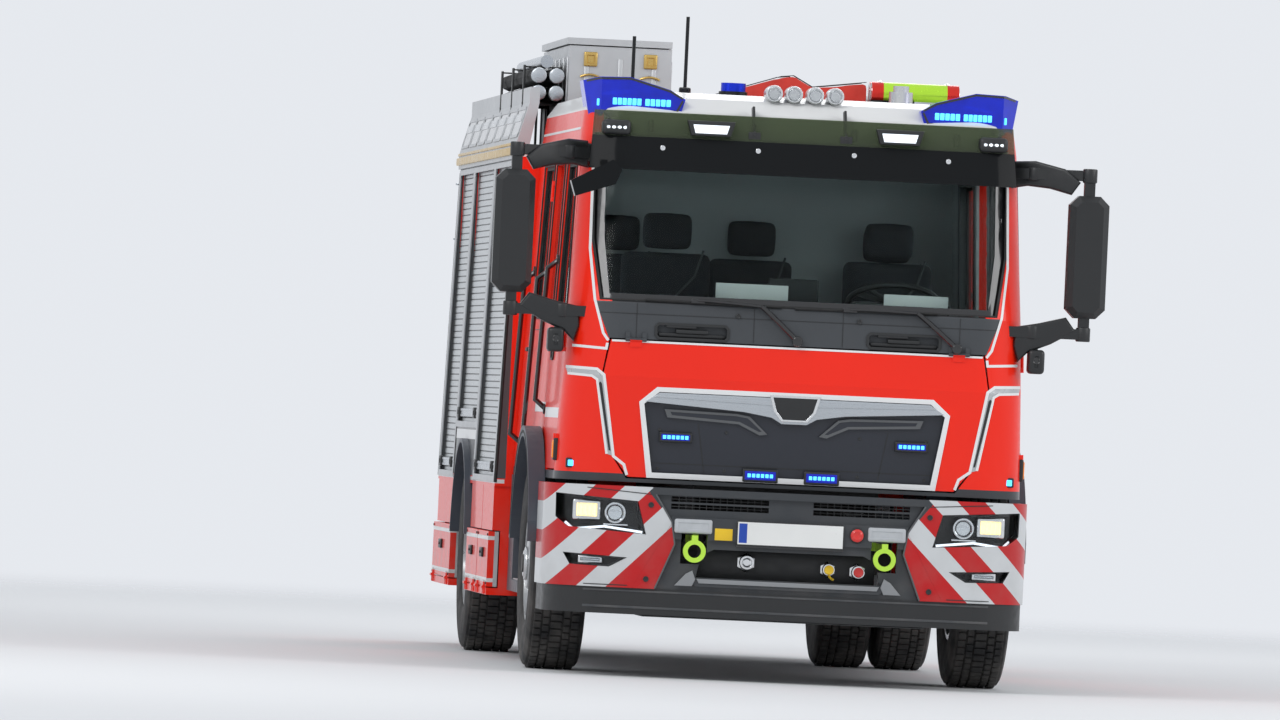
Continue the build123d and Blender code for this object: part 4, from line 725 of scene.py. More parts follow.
# ---------------------------------------------------------------- front: contour lines, ducts and grille
screen_line = ((1.030, 2.56), (1.036, 2.10), (1.008, 1.852), (0.962, 1.688), (0.936, 1.652))
corner_line = ((0.940, 1.640), (0.944, 1.612), (1.105, 1.621))
duct_outer = ((1.128, 1.515), (0.985, 1.509), (0.950, 1.482), (0.883, 1.084), (0.829, 1.045), (0.812, 0.994))
duct_inner = ((1.120, 1.482), (1.008, 1.475), (0.982, 1.458), (0.917, 1.094))
duct_slot = ((0.973, 1.440), (0.966, 1.448), (0.958, 1.438), (0.898, 1.110), (0.908, 1.112))


def contour_lines():
    """White lines on the cab corners: round the screen, down the corner step and round the ducts."""
    lines = []
    for path, width in ((screen_line, 0.013), (corner_line, 0.013), (duct_outer, 0.014), (duct_inner, 0.012)):
        lines.append(twin(on_cab(band(path, width), 0.003)))
    piece("cab_contour_lines", lines, trim_white)
    line = on_cab(band(((-0.918, 1.6535), (0.918, 1.6535)), 0.010), 0.003)
    piece("flap_contour_line", [line], trim_white, "front_flap")


def ducts():
    """Silver air ducts beside the flap with their dark slots."""
    field = list(duct_outer[:4]) + [(0.917, 1.094), (0.982, 1.458), (1.008, 1.475), (1.120, 1.482)]
    piece("duct_faces", [twin(on_cab(field, 0.002, proud=0.0005))], trim_silver)
    piece("duct_slots", [twin(on_cab(list(duct_slot), 0.004, proud=0.002, edge=0.001))], black_plastic)


def grille_trim():
    """White frame, silver bar with its middle line, blank badge place and wing edges of the grille."""
    frame_outline = both_halves([(0.715, 0.985), (0.770, 1.358), (0.684, 1.434)])
    inner = both_halves([(0.690, 1.012), (0.744, 1.349), (0.671, 1.410)])
    piece("grille_frame", [on_cab(frame_outline, 0.006, [inner], 0.002, 0.001)], trim_white, "front_flap")
    field = both_halves([(0.062, 1.279), (0.112, 1.308), (0.252, 1.330), (0.744, 1.360), (0.669, 1.407)])
    fold = both_halves([(0.135, 1.368), (0.700, 1.384), (0.688, 1.393)])
    silver_bar = [on_cab(field, 0.010, proud=0.001, edge=0.003), on_cab(fold, 0.005, proud=0.0085, edge=0.002)]
    piece("grille_silver_bar", silver_bar, satin_metal, "front_flap")
    rim = both_halves([(0.066, 1.292), (0.104, 1.340), (0.126, 1.420)])
    core = both_halves([(0.056, 1.302), (0.090, 1.342), (0.109, 1.409)])
    piece("badge_rim", [on_cab(rim, 0.012, [core], 0.010, 0.002)], chrome, "front_flap")
    piece("badge_blank", [on_cab(core, 0.006, proud=0.0085, edge=0.001)], black_plastic, "front_flap")
    wing = [(0.641, 1.327), (0.626, 1.287), (0.272, 1.269), (0.166, 1.219), (0.128, 1.225), (0.219, 1.309),
            (0.281, 1.319)]
    rim_of_wing = [(0.612, 1.315), (0.603, 1.299), (0.268, 1.281), (0.170, 1.236), (0.156, 1.238), (0.228, 1.300),
                   (0.284, 1.308)]
    wings = [on_cab(wing, 0.003, [rim_of_wing], -0.0115), on_cab(flipped(wing), 0.003, [flipped(rim_of_wing)], -0.0115)]
    piece("grille_wing_edges", wings, trim_grey, "front_flap")
    seams = [on_cab(band(((-0.690, 1.06), (0.690, 1.06)), 0.004), 0.002, proud=-0.0235),
             twin(on_cab(band(((0.430, 1.02), (0.470, 1.262)), 0.004), 0.002, proud=-0.0235))]
    screws = [disc((x, cab_front(x, z) + 0.0225, z), 0.008, 0.006, steps=((0.0025, 0.001),), vertices=16)
              for x in (-0.66, -0.33, 0.33, 0.66) for z in (1.035, 1.225)]
    piece("grille_seams_and_screws", seams + screws, black_plastic, "front_flap")


def flash_lamps():
    """Four slim blue flash lamps on the grille, each a housing with a lens and lit cells."""
    housings, lenses, cells = [], [], []
    for x, z, half, height, proud in ((-0.580, 1.190, 0.082, 0.026, 0.0), (0.588, 1.195, 0.082, 0.026, 0.0),
                                      (-0.153, 1.020, 0.088, 0.033, 0.012), (0.151, 1.020, 0.088, 0.033, 0.012)):
        face = cab_front(x, z) + 0.012 - proud
        housings.append(bar((x - half, x + half), (face - 0.008, face + 0.020), (z - height, z + height), 0.006, 3,
                            (0, -1, 0), ((0.006, 0.0), (0.001, 0.006))))
        lenses.append(bar((x - half + 0.011, x + half - 0.011), (face - 0.010, face - 0.002),
                          (z - height + 0.011, z + height - 0.011), 0.003))
        for i in range(6):
            middle = x + (i - 2.5) * 0.022
            cells.append(bar((middle - 0.008, middle + 0.008), (face - 0.0115, face - 0.009), (z - 0.009, z + 0.009),
                             0.0015, 2))
    piece("flash_lamp_housings", housings, black_plastic, "front_flap")
    piece("flash_lamp_lenses", lenses, blue_lens, "front_flap")
    piece("flash_lamp_cells", cells, blue_light, "front_flap")


def corner_lamps():
    """Small blue markers and orange side markers on the lower corners of the cab."""
    seats_of, blue, orange = [], [], []
    for side, _ in sides:
        x = side * 1.085
        y = cab_front(x, 1.04)
        seats_of.append(bar((x - 0.026, x + 0.026), (y - 0.006, y + 0.02), (1.018, 1.066), 0.006, 3))
        blue.append(bar((x - 0.016, x + 0.016), (y - 0.010, y), (1.026, 1.056), 0.004, 3))
        flank = cab_flank(front + 0.30, 1.10)
        spot = (side * (flank - 0.01), side * (flank + 0.018))
        seats_of.append(bar(spot, (front + 0.29, front + 0.36), (1.05, 1.16), 0.008, 3))
        orange.append(bar((side * flank, side * (flank + 0.024)), (front + 0.298, front + 0.352), (1.06, 1.15), 0.008,
                          3))
    piece("corner_lamp_seats", seats_of, black_plastic)
    piece("corner_marker_lights", blue, blue_light)
    piece("orange_side_markers", orange, orange_lens)


# ---------------------------------------------------------------- windscreen, cowl, wipers and visor
def screen_trim():
    """Black printed border on the windscreen and the rubber round it."""
    outer = both_halves([(0.983, 1.854), (1.028, 2.150), (1.028, 2.678)])
    inner = both_halves([(0.938, 1.888), (0.968, 2.160), (0.968, 2.600)])
    border = lay(flat(outer, 0.002, [inner]), lambda x, z: cab_front(x, z) + 0.018, cab_cuts_x, cab_cuts_z)
    piece("screen_border", [border], black_gloss)
    rim_in = both_halves([(0.972, 1.862), (1.018, 2.152), (1.018, 2.668)])
    seal = lay(flat(outer, 0.016, [rim_in]), lambda x, z: cab_front(x, z) + 0.008, cab_cuts_x, cab_cuts_z)
    piece("screen_rubber", [seal], rubber)


def cowl_fittings():
    """Frames and footholds in the two hand recesses, seams and washer jets on the cowl."""
    parts = []
    for side, _ in sides:
        outer = box_outline((side * 0.524 - 0.186, 1.668), (side * 0.524 + 0.186, 1.752), 0.018)
        inner = box_outline((side * 0.524 - 0.172, 1.681), (side * 0.524 + 0.172, 1.739), 0.010)
        parts.append(on_cab(outer, 0.006, [inner], 0.003, 0.0015))
        face = cab_front(0.5, 1.70)
        parts.append(bar((side * 0.524 - 0.165, side * 0.524 + 0.165), (face + 0.012, face + 0.05), (1.684, 1.702),
                         0.004))
        parts.append(bar((side * 0.524 - 0.080, side * 0.524 + 0.080), (face + 0.004, face + 0.05), (1.702, 1.722),
                         0.005))
        parts.append(bar((side * 0.524 - 0.130, side * 0.524 + 0.020), (face - 0.002, face + 0.03), (1.728, 1.742),
                         0.004))
        parts.append(disc((side * 0.30, cab_front(0.3, 1.80) - 0.004, 1.80), 0.012, 0.012, steps=((0.004, 0.002),)))
    parts.append(on_cab(band(((-0.98, 1.79), (0.98, 1.79)), 0.003), 0.002))
    parts += [on_cab(band(((x, 1.672), (x, 1.842)), 0.003), 0.002) for x in (-0.22, 0.22, -0.80, 0.80)]
    piece("cowl_fittings", parts, black_plastic)


def wipers():
    """Two wipers lying along the lower edge of the windscreen."""
    parts, blades = [], []
    for pivot, knee, tip in (((-0.004, 1.690), (-0.186, 1.849), (-0.760, 1.858)),
                             ((0.786, 1.690), (0.585, 1.852), (-0.021, 1.848))):
        def skin(x, z, lift):
            return cab_front(x, z) - lift
        foot = Vector((pivot[0], skin(*pivot, 0.020), pivot[1]))
        bend = Vector((knee[0], skin(*knee, 0.030), knee[1] + 0.004))
        middle = Vector(((knee[0] * 0.45 + tip[0] * 0.55), skin(*tip, 0.022), tip[1] + 0.012))
        parts.append(disc((foot.x, foot.y + 0.004, foot.z), 0.026, 0.040, edge=0.006, steps=((0.008, 0.002),)))
        parts.append(tube([foot, foot.lerp(bend, 0.5) + Vector((0, -0.008, 0.006)), bend], 0.013, kind="NURBS"))
        parts.append(tube([bend, bend.lerp(middle, 0.5) + Vector((0, -0.004, 0.004)), middle], 0.008, kind="NURBS"))
        start = Vector((knee[0] + 0.10, 0, knee[1] + 0.002))
        run = [(start.x + (tip[0] - start.x) * i / 8, start.z + (tip[1] - start.z) * i / 8) for i in range(9)]
        spine = [(x, skin(x, z, 0.010), z + 0.004) for x, z in run]
        blades.append(tube(spine, 0.0065))
        blades.append(tube([(x, y + 0.006, z - 0.006) for x, y, z in spine], 0.0035))
        parts.append(bar((middle.x - 0.035, middle.x + 0.035), (middle.y - 0.004, middle.y + 0.014),
                         (middle.z - 0.016, middle.z + 0.006), 0.004))
    piece("wiper_arms", parts, black_gloss)
    piece("wiper_blades", blades, rubber)


def visor_front(x, z):
    """Place along the vehicle of the sun visor's outer face."""
    low, high = 0.095 + (min(z, 2.66) - 1.84) / 0.82 * 0.235, 0.0
    if z > 2.66:
        high = (z - 2.66) / 0.258 * 0.07
    past = max(abs(x) - 0.858, 0.0)
    radius = 0.345
    return front + low + high - 0.118 + radius - math.sqrt(radius**2 - min(past, radius) ** 2)


def visor_fittings():
    """Screws, fins, work lamps and position lamps on the sun visor."""
    screws = [disc((x, visor_front(x, z) - 0.003, z), 0.013, 0.008, steps=((0.004, 0.0015),), vertices=20)
              for x, z in ((-0.703, 2.613), (-0.230, 2.620), (0.246, 2.620), (0.714, 2.613))]
    piece("visor_screws", screws, chrome)
    dark, light = [], []
    for x in (-0.250, 0.205):
        fin = flat([(-0.05, 2.695), (0.030, 2.695), (0.150, 2.835), (0.075, 2.842)], 0.012, side=True, edge=0.002)
        fin.data.transform(Matrix.Translation((x, visor_front(x, 2.7) + 0.035, 0)))
        dark.append(fin)
        dark.append(bar((x - 0.030, x + 0.030), (visor_front(x, 2.7) - 0.006, visor_front(x, 2.7) + 0.004),
                        (2.672, 2.712), 0.003))
    for side, _ in sides:
        low, high = sorted((side * 0.348, side * 0.588))
        y = visor_front(0.47, 2.71)
        hood = [(low, 2.756), (low + 0.022, 2.682), (high - 0.022, 2.682), (high, 2.756)]
        glass = [(low + 0.030, 2.736), (low + 0.042, 2.694), (high - 0.042, 2.694), (high - 0.030, 2.736)]
        lamp = flat(hood, 0.050, edge=0.006)
        lamp.data.transform(Matrix.Translation((0, y - 0.024, 0)))
        dark.append(lamp)
        pane = flat(glass, 0.006, edge=0.002)
        pane.data.transform(Matrix.Translation((0, y - 0.051, 0)))
        light.append(pane)
        x = side * 0.935
        y = visor_front(x, 2.70)
        dark.append(bar((x - 0.072, x + 0.072), (y - 0.045, y + 0.03), (2.668, 2.742), 0.022, 4, (0, -1, 0),
                        ((0.010, 0.0), (0.002, 0.008))))
        dark.append(tube([(x + side * 0.03, y + 0.02, 2.735), (x + side * 0.05, y + 0.12, 2.775)], 0.010))
        for i in range(4):
            light.append(disc((x - 0.042 + i * 0.028, y - 0.040, 2.705), 0.010, 0.010, vertices=16))
    piece("visor_lamp_housings", dark, black_plastic)
    piece("visor_lamp_lights", light, white_light)


def light_modules():
    """Lit cells and dark edge frames of the blue warning lights on the roof corners."""
    cells, frames = [], []
    for side, _ in sides:
        for low, high, z, count in ((0.800, 0.945, 2.838, 6), (0.655, 0.785, 2.838, 5), (1.000, 1.022, 2.830, 1)):
            step = (high - low) / count
            for i in range(count):
                x = side * (low + (i + 0.5) * step)
                y = module_front(x) - 0.001
                cells.append(bar((x - step * 0.42, x + step * 0.42), (y - 0.003, y + 0.003), (z - 0.017, z + 0.017),
                                 0.003))
        edge_low = [(0.598, 2.853), (0.625, 2.800), (1.045, 2.762)]
        edge_high = [(0.598, 2.862), (0.664, 2.898), (0.860, 2.952), (1.010, 2.948), (1.070, 2.934)]
        for path in (edge_low, edge_high):
            stripe = flat(band(path if side > 0 else flipped(path), 0.010), 0.006)
            frames.append(lay(stripe, lambda x, z: module_front(x) - 0.001,
                              [side * v for v in (0.7, 0.8, 0.9, 1.0, 1.02, 1.04)]))
    piece("warning_light_cells", cells, blue_light)
    piece("warning_light_edges", frames, black_gloss)


def module_front(x):
    """Place along the vehicle of a roof light's front face."""
    x = abs(x)
    if x < 1.0:
        return front + 0.400 + (x - 0.585) / 0.415 * 0.040
    return front + 0.440 + (x - 1.0) / 0.1 * 0.150


# ---------------------------------------------------------------- bumper
lamp_shape = [(1.148, 0.891), (0.756, 0.866), (0.711, 0.708), (1.088, 0.732), (1.146, 0.777)]
lamp_hole = [(1.134, 0.878), (0.766, 0.854), (0.725, 0.722), (1.082, 0.745), (1.132, 0.785)]
fog_shape = [(1.105, 0.600), (0.798, 0.588), (0.883, 0.542), (1.072, 0.547)]
fog_hole = [(1.088, 0.591), (0.822, 0.581), (0.889, 0.550), (1.066, 0.555)]


def headlamps():
    """Lens, dark housing, lit lamp, clear lamp and white light line of each headlamp, and the fog lamps."""
    lenses, housings, bowls, lit, line, glass = [], [], [], [], [], []
    for outline, hole in ((lamp_shape, lamp_hole), (fog_shape, fog_hole)):
        lenses.append(twin(on_bumper(outline, 0.004, proud=-0.006, edge=0.001)))
        housings.append(twin(on_bumper(outline, 0.058, [hole], -0.042)))
        housings.append(twin(on_bumper(outline, 0.006, proud=-0.074)))
    for side, _ in sides:
        x = side * 1.000
        y = bumper_front(1.0) + 0.030
        bowls.append(bar((x - 0.070, x + 0.070), (y, y + 0.040), (0.764, 0.866), 0.010, 3, (0, -1, 0),
                         ((0.008, 0.0), (0.010, 0.018))))
        lit.append(bar((x - 0.052, x + 0.052), (y + 0.010, y + 0.022), (0.782, 0.848), 0.012, 3))
        for i in range(5):
            lit.append(bar((x - 0.050 + i * 0.022, x - 0.040 + i * 0.022), (y + 0.004, y + 0.012), (0.784, 0.846),
                           0.002))
        x = side * 0.862
        y = bumper_front(0.862) + 0.026
        bowls.append(disc((x, y + 0.020, 0.806), 0.052, 0.050, steps=((0.006, 0.0), (0.006, 0.010), (0.003, 0.008))))
        glass.append(dome((x, y + 0.018, 0.806), 0.038, 0.022))
        bowls.append(bar((x - 0.056, x + 0.066), (y + 0.012, y + 0.05), (0.742, 0.752), 0.003))
        drl = [(1.100, 0.751), (1.063, 0.719), (0.914, 0.737), (0.726, 0.716)]
        drl = band(drl if side > 0 else flipped(drl), 0.012)
        line.append(on_bumper(drl, 0.004, proud=-0.012, edge=0.001))
        x = side * 0.975
        y = bumper_front(0.975) + 0.020
        bowls.append(bar((x - 0.060, x + 0.060), (y, y + 0.040), (0.553, 0.590), 0.006, 2, (0, -1, 0),
                         ((0.005, 0.0), (0.006, 0.012))))
        glass.append(bar((x - 0.047, x + 0.047), (y - 0.002, y + 0.006), (0.558, 0.585), 0.004))
    tails = []
    for side, _ in sides:
        for z in (1.15, 1.45):
            low, high = sorted((side * 0.982, side * 1.118))
            housings.append(bar((low, high), (rear, rear + 0.010), (z + 0.002, z + 0.238), 0.006, 3))
            for i in range(3):
                tails.append(bar((low + 0.014, high - 0.014), (rear + 0.004, rear + 0.017),
                                 (z + 0.014 + i * 0.074, z + 0.078 + i * 0.074), 0.008, 3, (0, 1, 0),
                                 ((0.006, 0.0), (0.004, 0.002))))
    shown = piece("headlamp_lenses", lenses, lens_clear)
    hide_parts("lamps")
    piece("lamp_housings", housings, black_plastic)
    piece("lamp_reflectors", bowls, chrome)
    piece("lit_headlamps", lit, warm_light)
    piece("headlamp_light_lines", line, white_light)
    piece("lamp_inner_glass", glass, lens_clear)
    piece("tail_lamp_lenses", tails, red_lens)


def dome(centre, radius, height, axis="-Y"):
    """Flat-backed round lens."""
    take()
    bpy.ops.mesh.primitive_uv_sphere_add(segments=32, ring_count=16, radius=radius, location=(0, 0, 0))
    shape = bpy.context.object
    bpy.ops.object.mode_set(mode="EDIT")
    bpy.ops.mesh.select_all(action="SELECT")
    bpy.ops.mesh.bisect(plane_co=(0, 0, 0), plane_no=(0, 0, 1), clear_inner=True, use_fill=True)
    bpy.ops.object.mode_set(mode="OBJECT")
    shape.scale = (1.0, 1.0, height / radius)
    shape.rotation_euler = turns[axis]
    shape.location = centre
    return settle(shape, angle=50.0)


def bumper_fittings():
    """Bolts, seams, slot mesh, plate frame, label, button, grey lamps and couplings in the bumper's middle."""
    bolts = [disc((side * x, bumper_front(x) - 0.002, z), 0.014, 0.008, steps=((0.005, 0.002),), vertices=20)
             for side, _ in sides for x, z in ((0.690, 0.853), (0.700, 0.487))]
    seams = [twin(on_bumper(band(path, 0.004), 0.002)) for path in
             (((0.690, 0.905), (1.150, 0.935)), ((0.790, 0.452), (1.100, 0.452)))]
    facet = [(0.560, 0.462), (0.474, 0.462), (0.458, 0.496), (0.474, 0.540), (0.506, 0.522)]
    lips = [twin(on_bumper(facet, 0.010, proud=0.001, edge=0.003)),
            on_bumper(both_halves([(0.440, 0.478), (0.452, 0.500)]), 0.008, proud=-0.001, edge=0.002)]
    piece("bumper_lip_facets", lips, lip_grey)
    edges = [twin(on_bumper(band(((0.667, 0.905), (0.584, 0.773), (0.566, 0.664), (0.655, 0.442)), 0.008), 0.010,
                            proud=-0.003, edge=0.002))]
    corner = [(0.7755, 0.4395), (0.5845, 0.774), (0.566, 0.664), (0.655, 0.4395)]
    panels = [on_bumper(corner, 0.020, proud=-0.011, edge=0.002),
              on_bumper(flipped(corner), 0.020, proud=-0.011, edge=0.002)]
    piece("striped_inner_panels", panels, stripe_foil)
    piece("bumper_bolts_and_seams", bolts + seams, black_plastic)
    piece("corner_shell_edges", edges, trim_grey)
    mesh_bars = []
    for side, _ in sides:
        for row in range(2):
            low, high = sorted((side * 0.112, side * 0.588))
            z = 0.838 + row * 0.036
            y = front + 0.048
            mesh_bars.append(bar((low, high), (y, y + 0.012), (z + 0.011, z + 0.015), 0.001))
            mesh_bars += [bar((low + i * 0.034, low + i * 0.034 + 0.004), (y, y + 0.014), (z - 0.002, z + 0.028), 0.001)
                          for i in range(1, 14)]
    piece("intake_bars", mesh_bars, black_plastic)
    frame = flat(box_outline((-0.266, 0.674), (0.266, 0.796), 0.008), 0.004,
                 [box_outline((-0.254, 0.686), (0.254, 0.784))], 0.001)
    frame.data.transform(Matrix.Translation((0, front - 0.0038, 0)))
    band_face = flat(box_outline((-0.254, 0.687), (-0.214, 0.783)), 0.0006)
    band_face.data.transform(Matrix.Translation((0, front - 0.0058, 0)))
    lip = flat(box_outline((-0.266, 0.664), (0.266, 0.674), 0.002), 0.010, edge=0.002)
    lip.data.transform(Matrix.Translation((0, front - 0.0005, 0)))
    piece("plate_frame", [frame, lip], black_gloss)
    piece("plate_end_strip", [band_face], strip_blue)
    greys = []
    for side, _ in sides:
        low, high = sorted((side * 0.385, side * 0.572))
        y = bumper_front(0.48) + 0.004
        greys.append(bar((low, high), (y - 0.018, y + 0.012), (0.722, 0.792), 0.010, 3, (0, -1, 0),
                         ((0.008, 0.0), (0.002, 0.003))))
    piece("grey_position_lamps", greys, smoke_lens)
    y = bumper_front(0.34) + 0.004
    label = bar((-0.372, -0.284), (y - 0.006, y + 0.006), (0.694, 0.752), 0.002)
    piece("yellow_blank_label", [label], label_yellow)
    button = disc((0.330, y - 0.002, 0.748), 0.032, 0.030, edge=0.004, steps=((0.008, -0.004), (0.004, 0.002)))
    piece("red_button", [button], button_red)
    rims = [disc((0.330, y + 0.002, 0.748), 0.040, 0.014, edge=0.003)]
    back = bar((-0.44, 0.44), (front + 0.175, front + 0.190), (0.50, 0.66), 0.004)
    piece("coupling_carrier", rims + [back], black_plastic)
    hardware = []
    for x, z, radius in ((-0.200, 0.590, 0.036), (0.205, 0.572, 0.030), (0.352, 0.566, 0.032)):
        hardware.append(disc((x, front + 0.130, z), radius, 0.100, edge=0.004,
                             steps=((0.006, 0.0), (0.004, 0.012), (0.006, 0.004))))
        hardware.append(disc((x, front + 0.165, z), radius * 1.35, 0.020, edge=0.003, vertices=6))
    caps = [disc((0.205, front + 0.074, 0.572), 0.024, 0.024, edge=0.004, steps=((0.006, 0.003),)),
            tube([(0.205, front + 0.080, 0.548), (0.212, front + 0.085, 0.530), (0.230, front + 0.10, 0.525)], 0.006,
                 kind="NURBS")]
    red_cap = [disc((0.352, front + 0.074, 0.566), 0.025, 0.022, edge=0.004, steps=((0.006, 0.003),))]
    piece("front_couplings", hardware, chrome)
    piece("yellow_coupling_cap", caps, label_yellow)
    piece("red_coupling_cap", red_cap, button_red)


def apron_lines():
    """Ribs and undertray edge below the striped corners."""
    parts = [lay(flat(band(((-1.12, z), (1.12, z)), width), 0.008, edge=0.002), lambda x, z: bumper_front(x) + 0.013,
                 bumper_cuts)
             for z, width in ((0.425, 0.010), (0.345, 0.012))]
    parts.append(bar((-0.70, 0.70), (front + 0.20, front + 0.70), (0.300, 0.306), 0.003))
    piece("apron_ribs", parts, slate_plastic)


# ---------------------------------------------------------------- mirrors and roof
def mirror_fittings():
    """Glasses, seams and joints of the mirrors, the small cameras under them and the kerb mirror's glass."""
    glasses, seams, pods, eyes = [], [], [], []
    y = front + 0.190
    for side, _ in sides:
        for low, high in ((1.904, 2.116), (2.144, 2.441)):
            x = sorted((side * 1.345, side * 1.502))
            glasses.append(bar(x, (y + 0.050, y + 0.0535), (low, high), 0.004, 3))
        ring = flat(box_outline((side * 1.4225 - 0.094, 1.878), (side * 1.4225 + 0.094, 2.467), 0.040), 0.003,
                    [box_outline((side * 1.4225 - 0.090, 1.882), (side * 1.4225 + 0.090, 2.463), 0.038)])
        ring.data.transform(Matrix.Translation((0, y - 0.022, 0)))
        seams.append(ring)
        for z in (1.790, 2.575):
            seams.append(disc((side * 1.420, y, z), 0.036, 0.070, "Z", edge=0.006, steps=((0.010, 0.003),)))
            cap = disc((side * 1.165, front + (0.197 if z < 2 else 0.33), z), 0.042, 0.066, "Z", edge=0.008)
            seams.append(cap)
        pods.append(tube([(side * 1.185, y - 0.005, 1.775), (side * 1.187, y - 0.01, 1.735),
                          (side * 1.190, y - 0.01, 1.700)], 0.010))
        pods.append(bar(sorted((side * 1.150, side * 1.232)), (y - 0.055, y + 0.045), (1.585, 1.705), 0.020, 4,
                        (0, -1, 0),
                        ((0.012, 0.0), (0.002, 0.004))))
        eyes.append(disc((side * 1.191, y - 0.052, 1.650), 0.018, 0.010, steps=((0.004, 0.003),)))
    for side, _ in sides:
        foot = (side * (cab_flank(front + 0.42, 2.575) + 0.012), front + 0.425, 2.575)
        seams.append(bar(sorted((foot[0] - side * 0.030, foot[0] + side * 0.014)), (foot[1] - 0.055, foot[1] + 0.040),
                         (2.530, 2.622), 0.010, 3))
    upper = [(1.335, 2.478), (1.375, 2.540), (1.300, 2.605), (1.160, 2.640), (1.060, 2.635), (1.050, 2.500),
             (1.130, 2.515), (1.235, 2.505)]
    lower = [(1.330, 1.872), (1.380, 1.805), (1.260, 1.735), (1.150, 1.690), (1.100, 1.640), (1.075, 1.720),
             (1.085, 1.815), (1.200, 1.838)]
    arms = []
    for side, _ in sides:
        for outline, reach, thick in ((upper, 0.62, 0.070), (lower, 0.02, 0.064)):
            shape = flat(outline if side > 0 else flipped(outline), thick, edge=0.014)
            arms.append(lay(shape, lambda x, z: y + (1.40 - abs(x)) * reach, [side * v for v in (1.12, 1.2, 1.3)]))
    piece("mirror_arm_covers", arms, mirror_plastic)
    piece("mirror_glasses", glasses, mirror_glass)
    piece("mirror_seams_and_joints", seams, black_plastic)
    piece("camera_pods", pods, mirror_plastic)
    piece("camera_eyes", eyes, black_gloss)
    kerb = flat([(-1.142, 2.428), (-0.960, 2.528), (-0.922, 2.490), (-0.948, 2.430), (-1.128, 2.366)], 0.004,
                edge=0.001)
    kerb.data.transform(Matrix.Translation((0, front + 0.1205, 0)))
    piece("kerb_mirror_glass", [kerb], mirror_glass)


def roof_lamps():
    """Bezels, glasses and feet of the four round lamps."""
    bezels, glasses, feet = [], [], []
    for x in (-0.140, -0.040, 0.065, 0.165):
        z, y = 2.912, front + 0.470
        bezels.append(disc((x, y + 0.010, z), 0.0425, 0.036, edge=0.004, vertices=40,
                           steps=((0.005, 0.0), (0.006, 0.006), (0.010, 0.006), (0.008, 0.003))))
        glasses.append(dome((x, y + 0.002, z), 0.036, 0.012))
        feet.append(tube([(x, y + 0.05, z - 0.040), (x, y + 0.09, z - 0.052), (x, y + 0.13, z - 0.030)], 0.008))
    piece("round_lamp_bezels", bezels, chrome)
    piece("round_lamp_glasses", glasses, lens_clear)
    piece("round_lamp_feet", feet, black_plastic)


def roof_fittings():
    """Beacon rings, antenna base, straps over the cover and ends of the rolled hoses on the cab roof."""
    dark, bright, straps = [], [], []
    dark.append(disc((-0.310, front + 0.900, 2.912), 0.071, 0.022, "Z", edge=0.004, steps=((0.006, 0.0),)))
    dark.append(disc((-0.310, front + 0.900, 2.962), 0.040, 0.006, "Z", edge=0.002))
    for x in (-0.536, -0.800):
        dark.append(disc((x, front + 1.100, 2.922), 0.029, 0.030, "Z", edge=0.006,
                         steps=((0.010, 0.0), (0.002, 0.004))))
    for y in (front + 1.18, front + 1.29):
        for x in (0.410, 0.840):
            bright.append(disc((x, y, 2.958), 0.052, 0.014, "X", edge=0.003, steps=((0.016, 0.002),)))
        bright += [disc((x, y, 3.010), 0.010, 0.020, "Z", edge=0.003, vertices=16) for x in (0.45, 0.79)]
    piece("roof_dark_fittings", dark, black_plastic)
    piece("hose_ends_and_knobs", bright, chrome)
    profile = [(-0.345, 2.920), (-0.042, 3.019), (0.021, 3.026), (0.117, 2.974), (0.388, 3.010)]
    for y in (front + 1.28, front + 1.54):
        strap = flat(band(profile, 0.0035), 0.034)
        strap.data.transform(Matrix.Translation((0, y, 0.0)))
        straps.append(strap)
    piece("cover_straps", straps, rubber)


def soft_cover():
    """Red cloth cover over the gear in the middle of the roof, ridged like a tent, with hanging ends."""
    y0, y1 = front + 1.206, front + 1.614
    ridge = ((-0.378, 2.904), (-0.352, 2.914), (-0.200, 2.963), (-0.042, 3.012), (0.021, 3.019), (0.117, 2.967),
             (0.250, 2.983), (0.374, 3.002), (0.384, 2.990), (0.385, 2.904))
    take()
    bpy.ops.mesh.primitive_grid_add(x_subdivisions=48, y_subdivisions=30, size=1.0, location=(0, 0, 0))
    cover = bpy.context.object
    runs = [math.dist(a, b) for a, b in zip(ridge, ridge[1:])]
    for vertex in cover.data.vertices:
        way = (vertex.co.x + 0.5) * sum(runs)
        for start, end, run in zip(ridge, ridge[1:], runs):
            if way <= run + 1e-6:
                break
            way -= run
        x, z = (p + (q - p) * way / run for p, q in zip(start, end))
        along = min(max((vertex.co.y * 1.24 + 0.5), 0.0), 1.0)
        hang = max(abs(vertex.co.y) - 0.5 / 1.24, 0.0) / (0.5 - 0.5 / 1.24)
        sag = 0.10 * math.sin(along * math.pi * 3.0) ** 2 + 0.03 * math.sin(along * 17.0 + x * 21.0) ** 2
        lift = (z - 2.904) * (1.0 - sag)
        z = 2.904 + lift * (1.0 - hang)
        fold = 0.004 * math.sin(x * 60.0) * hang
        vertex.co = (x, y0 + 0.004 + (y1 - y0 - 0.008) * along + fold * (1 if along < 0.5 else -1), z)
    wall = cover.modifiers.new("cloth", "SOLIDIFY")
    wall.thickness, wall.offset = 0.002, -1.0
    bpy.ops.object.modifier_apply(modifier="cloth")
    cover = piece("roof_cloth_cover", [settle(cover, angle=50.0)], cover_cloth)
    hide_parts("roof_cover")


# ---------------------------------------------------------------- cab sides
door_table = (("front", front + 0.338, front + 1.272), ("crew", front + 2.028, front + 2.872))


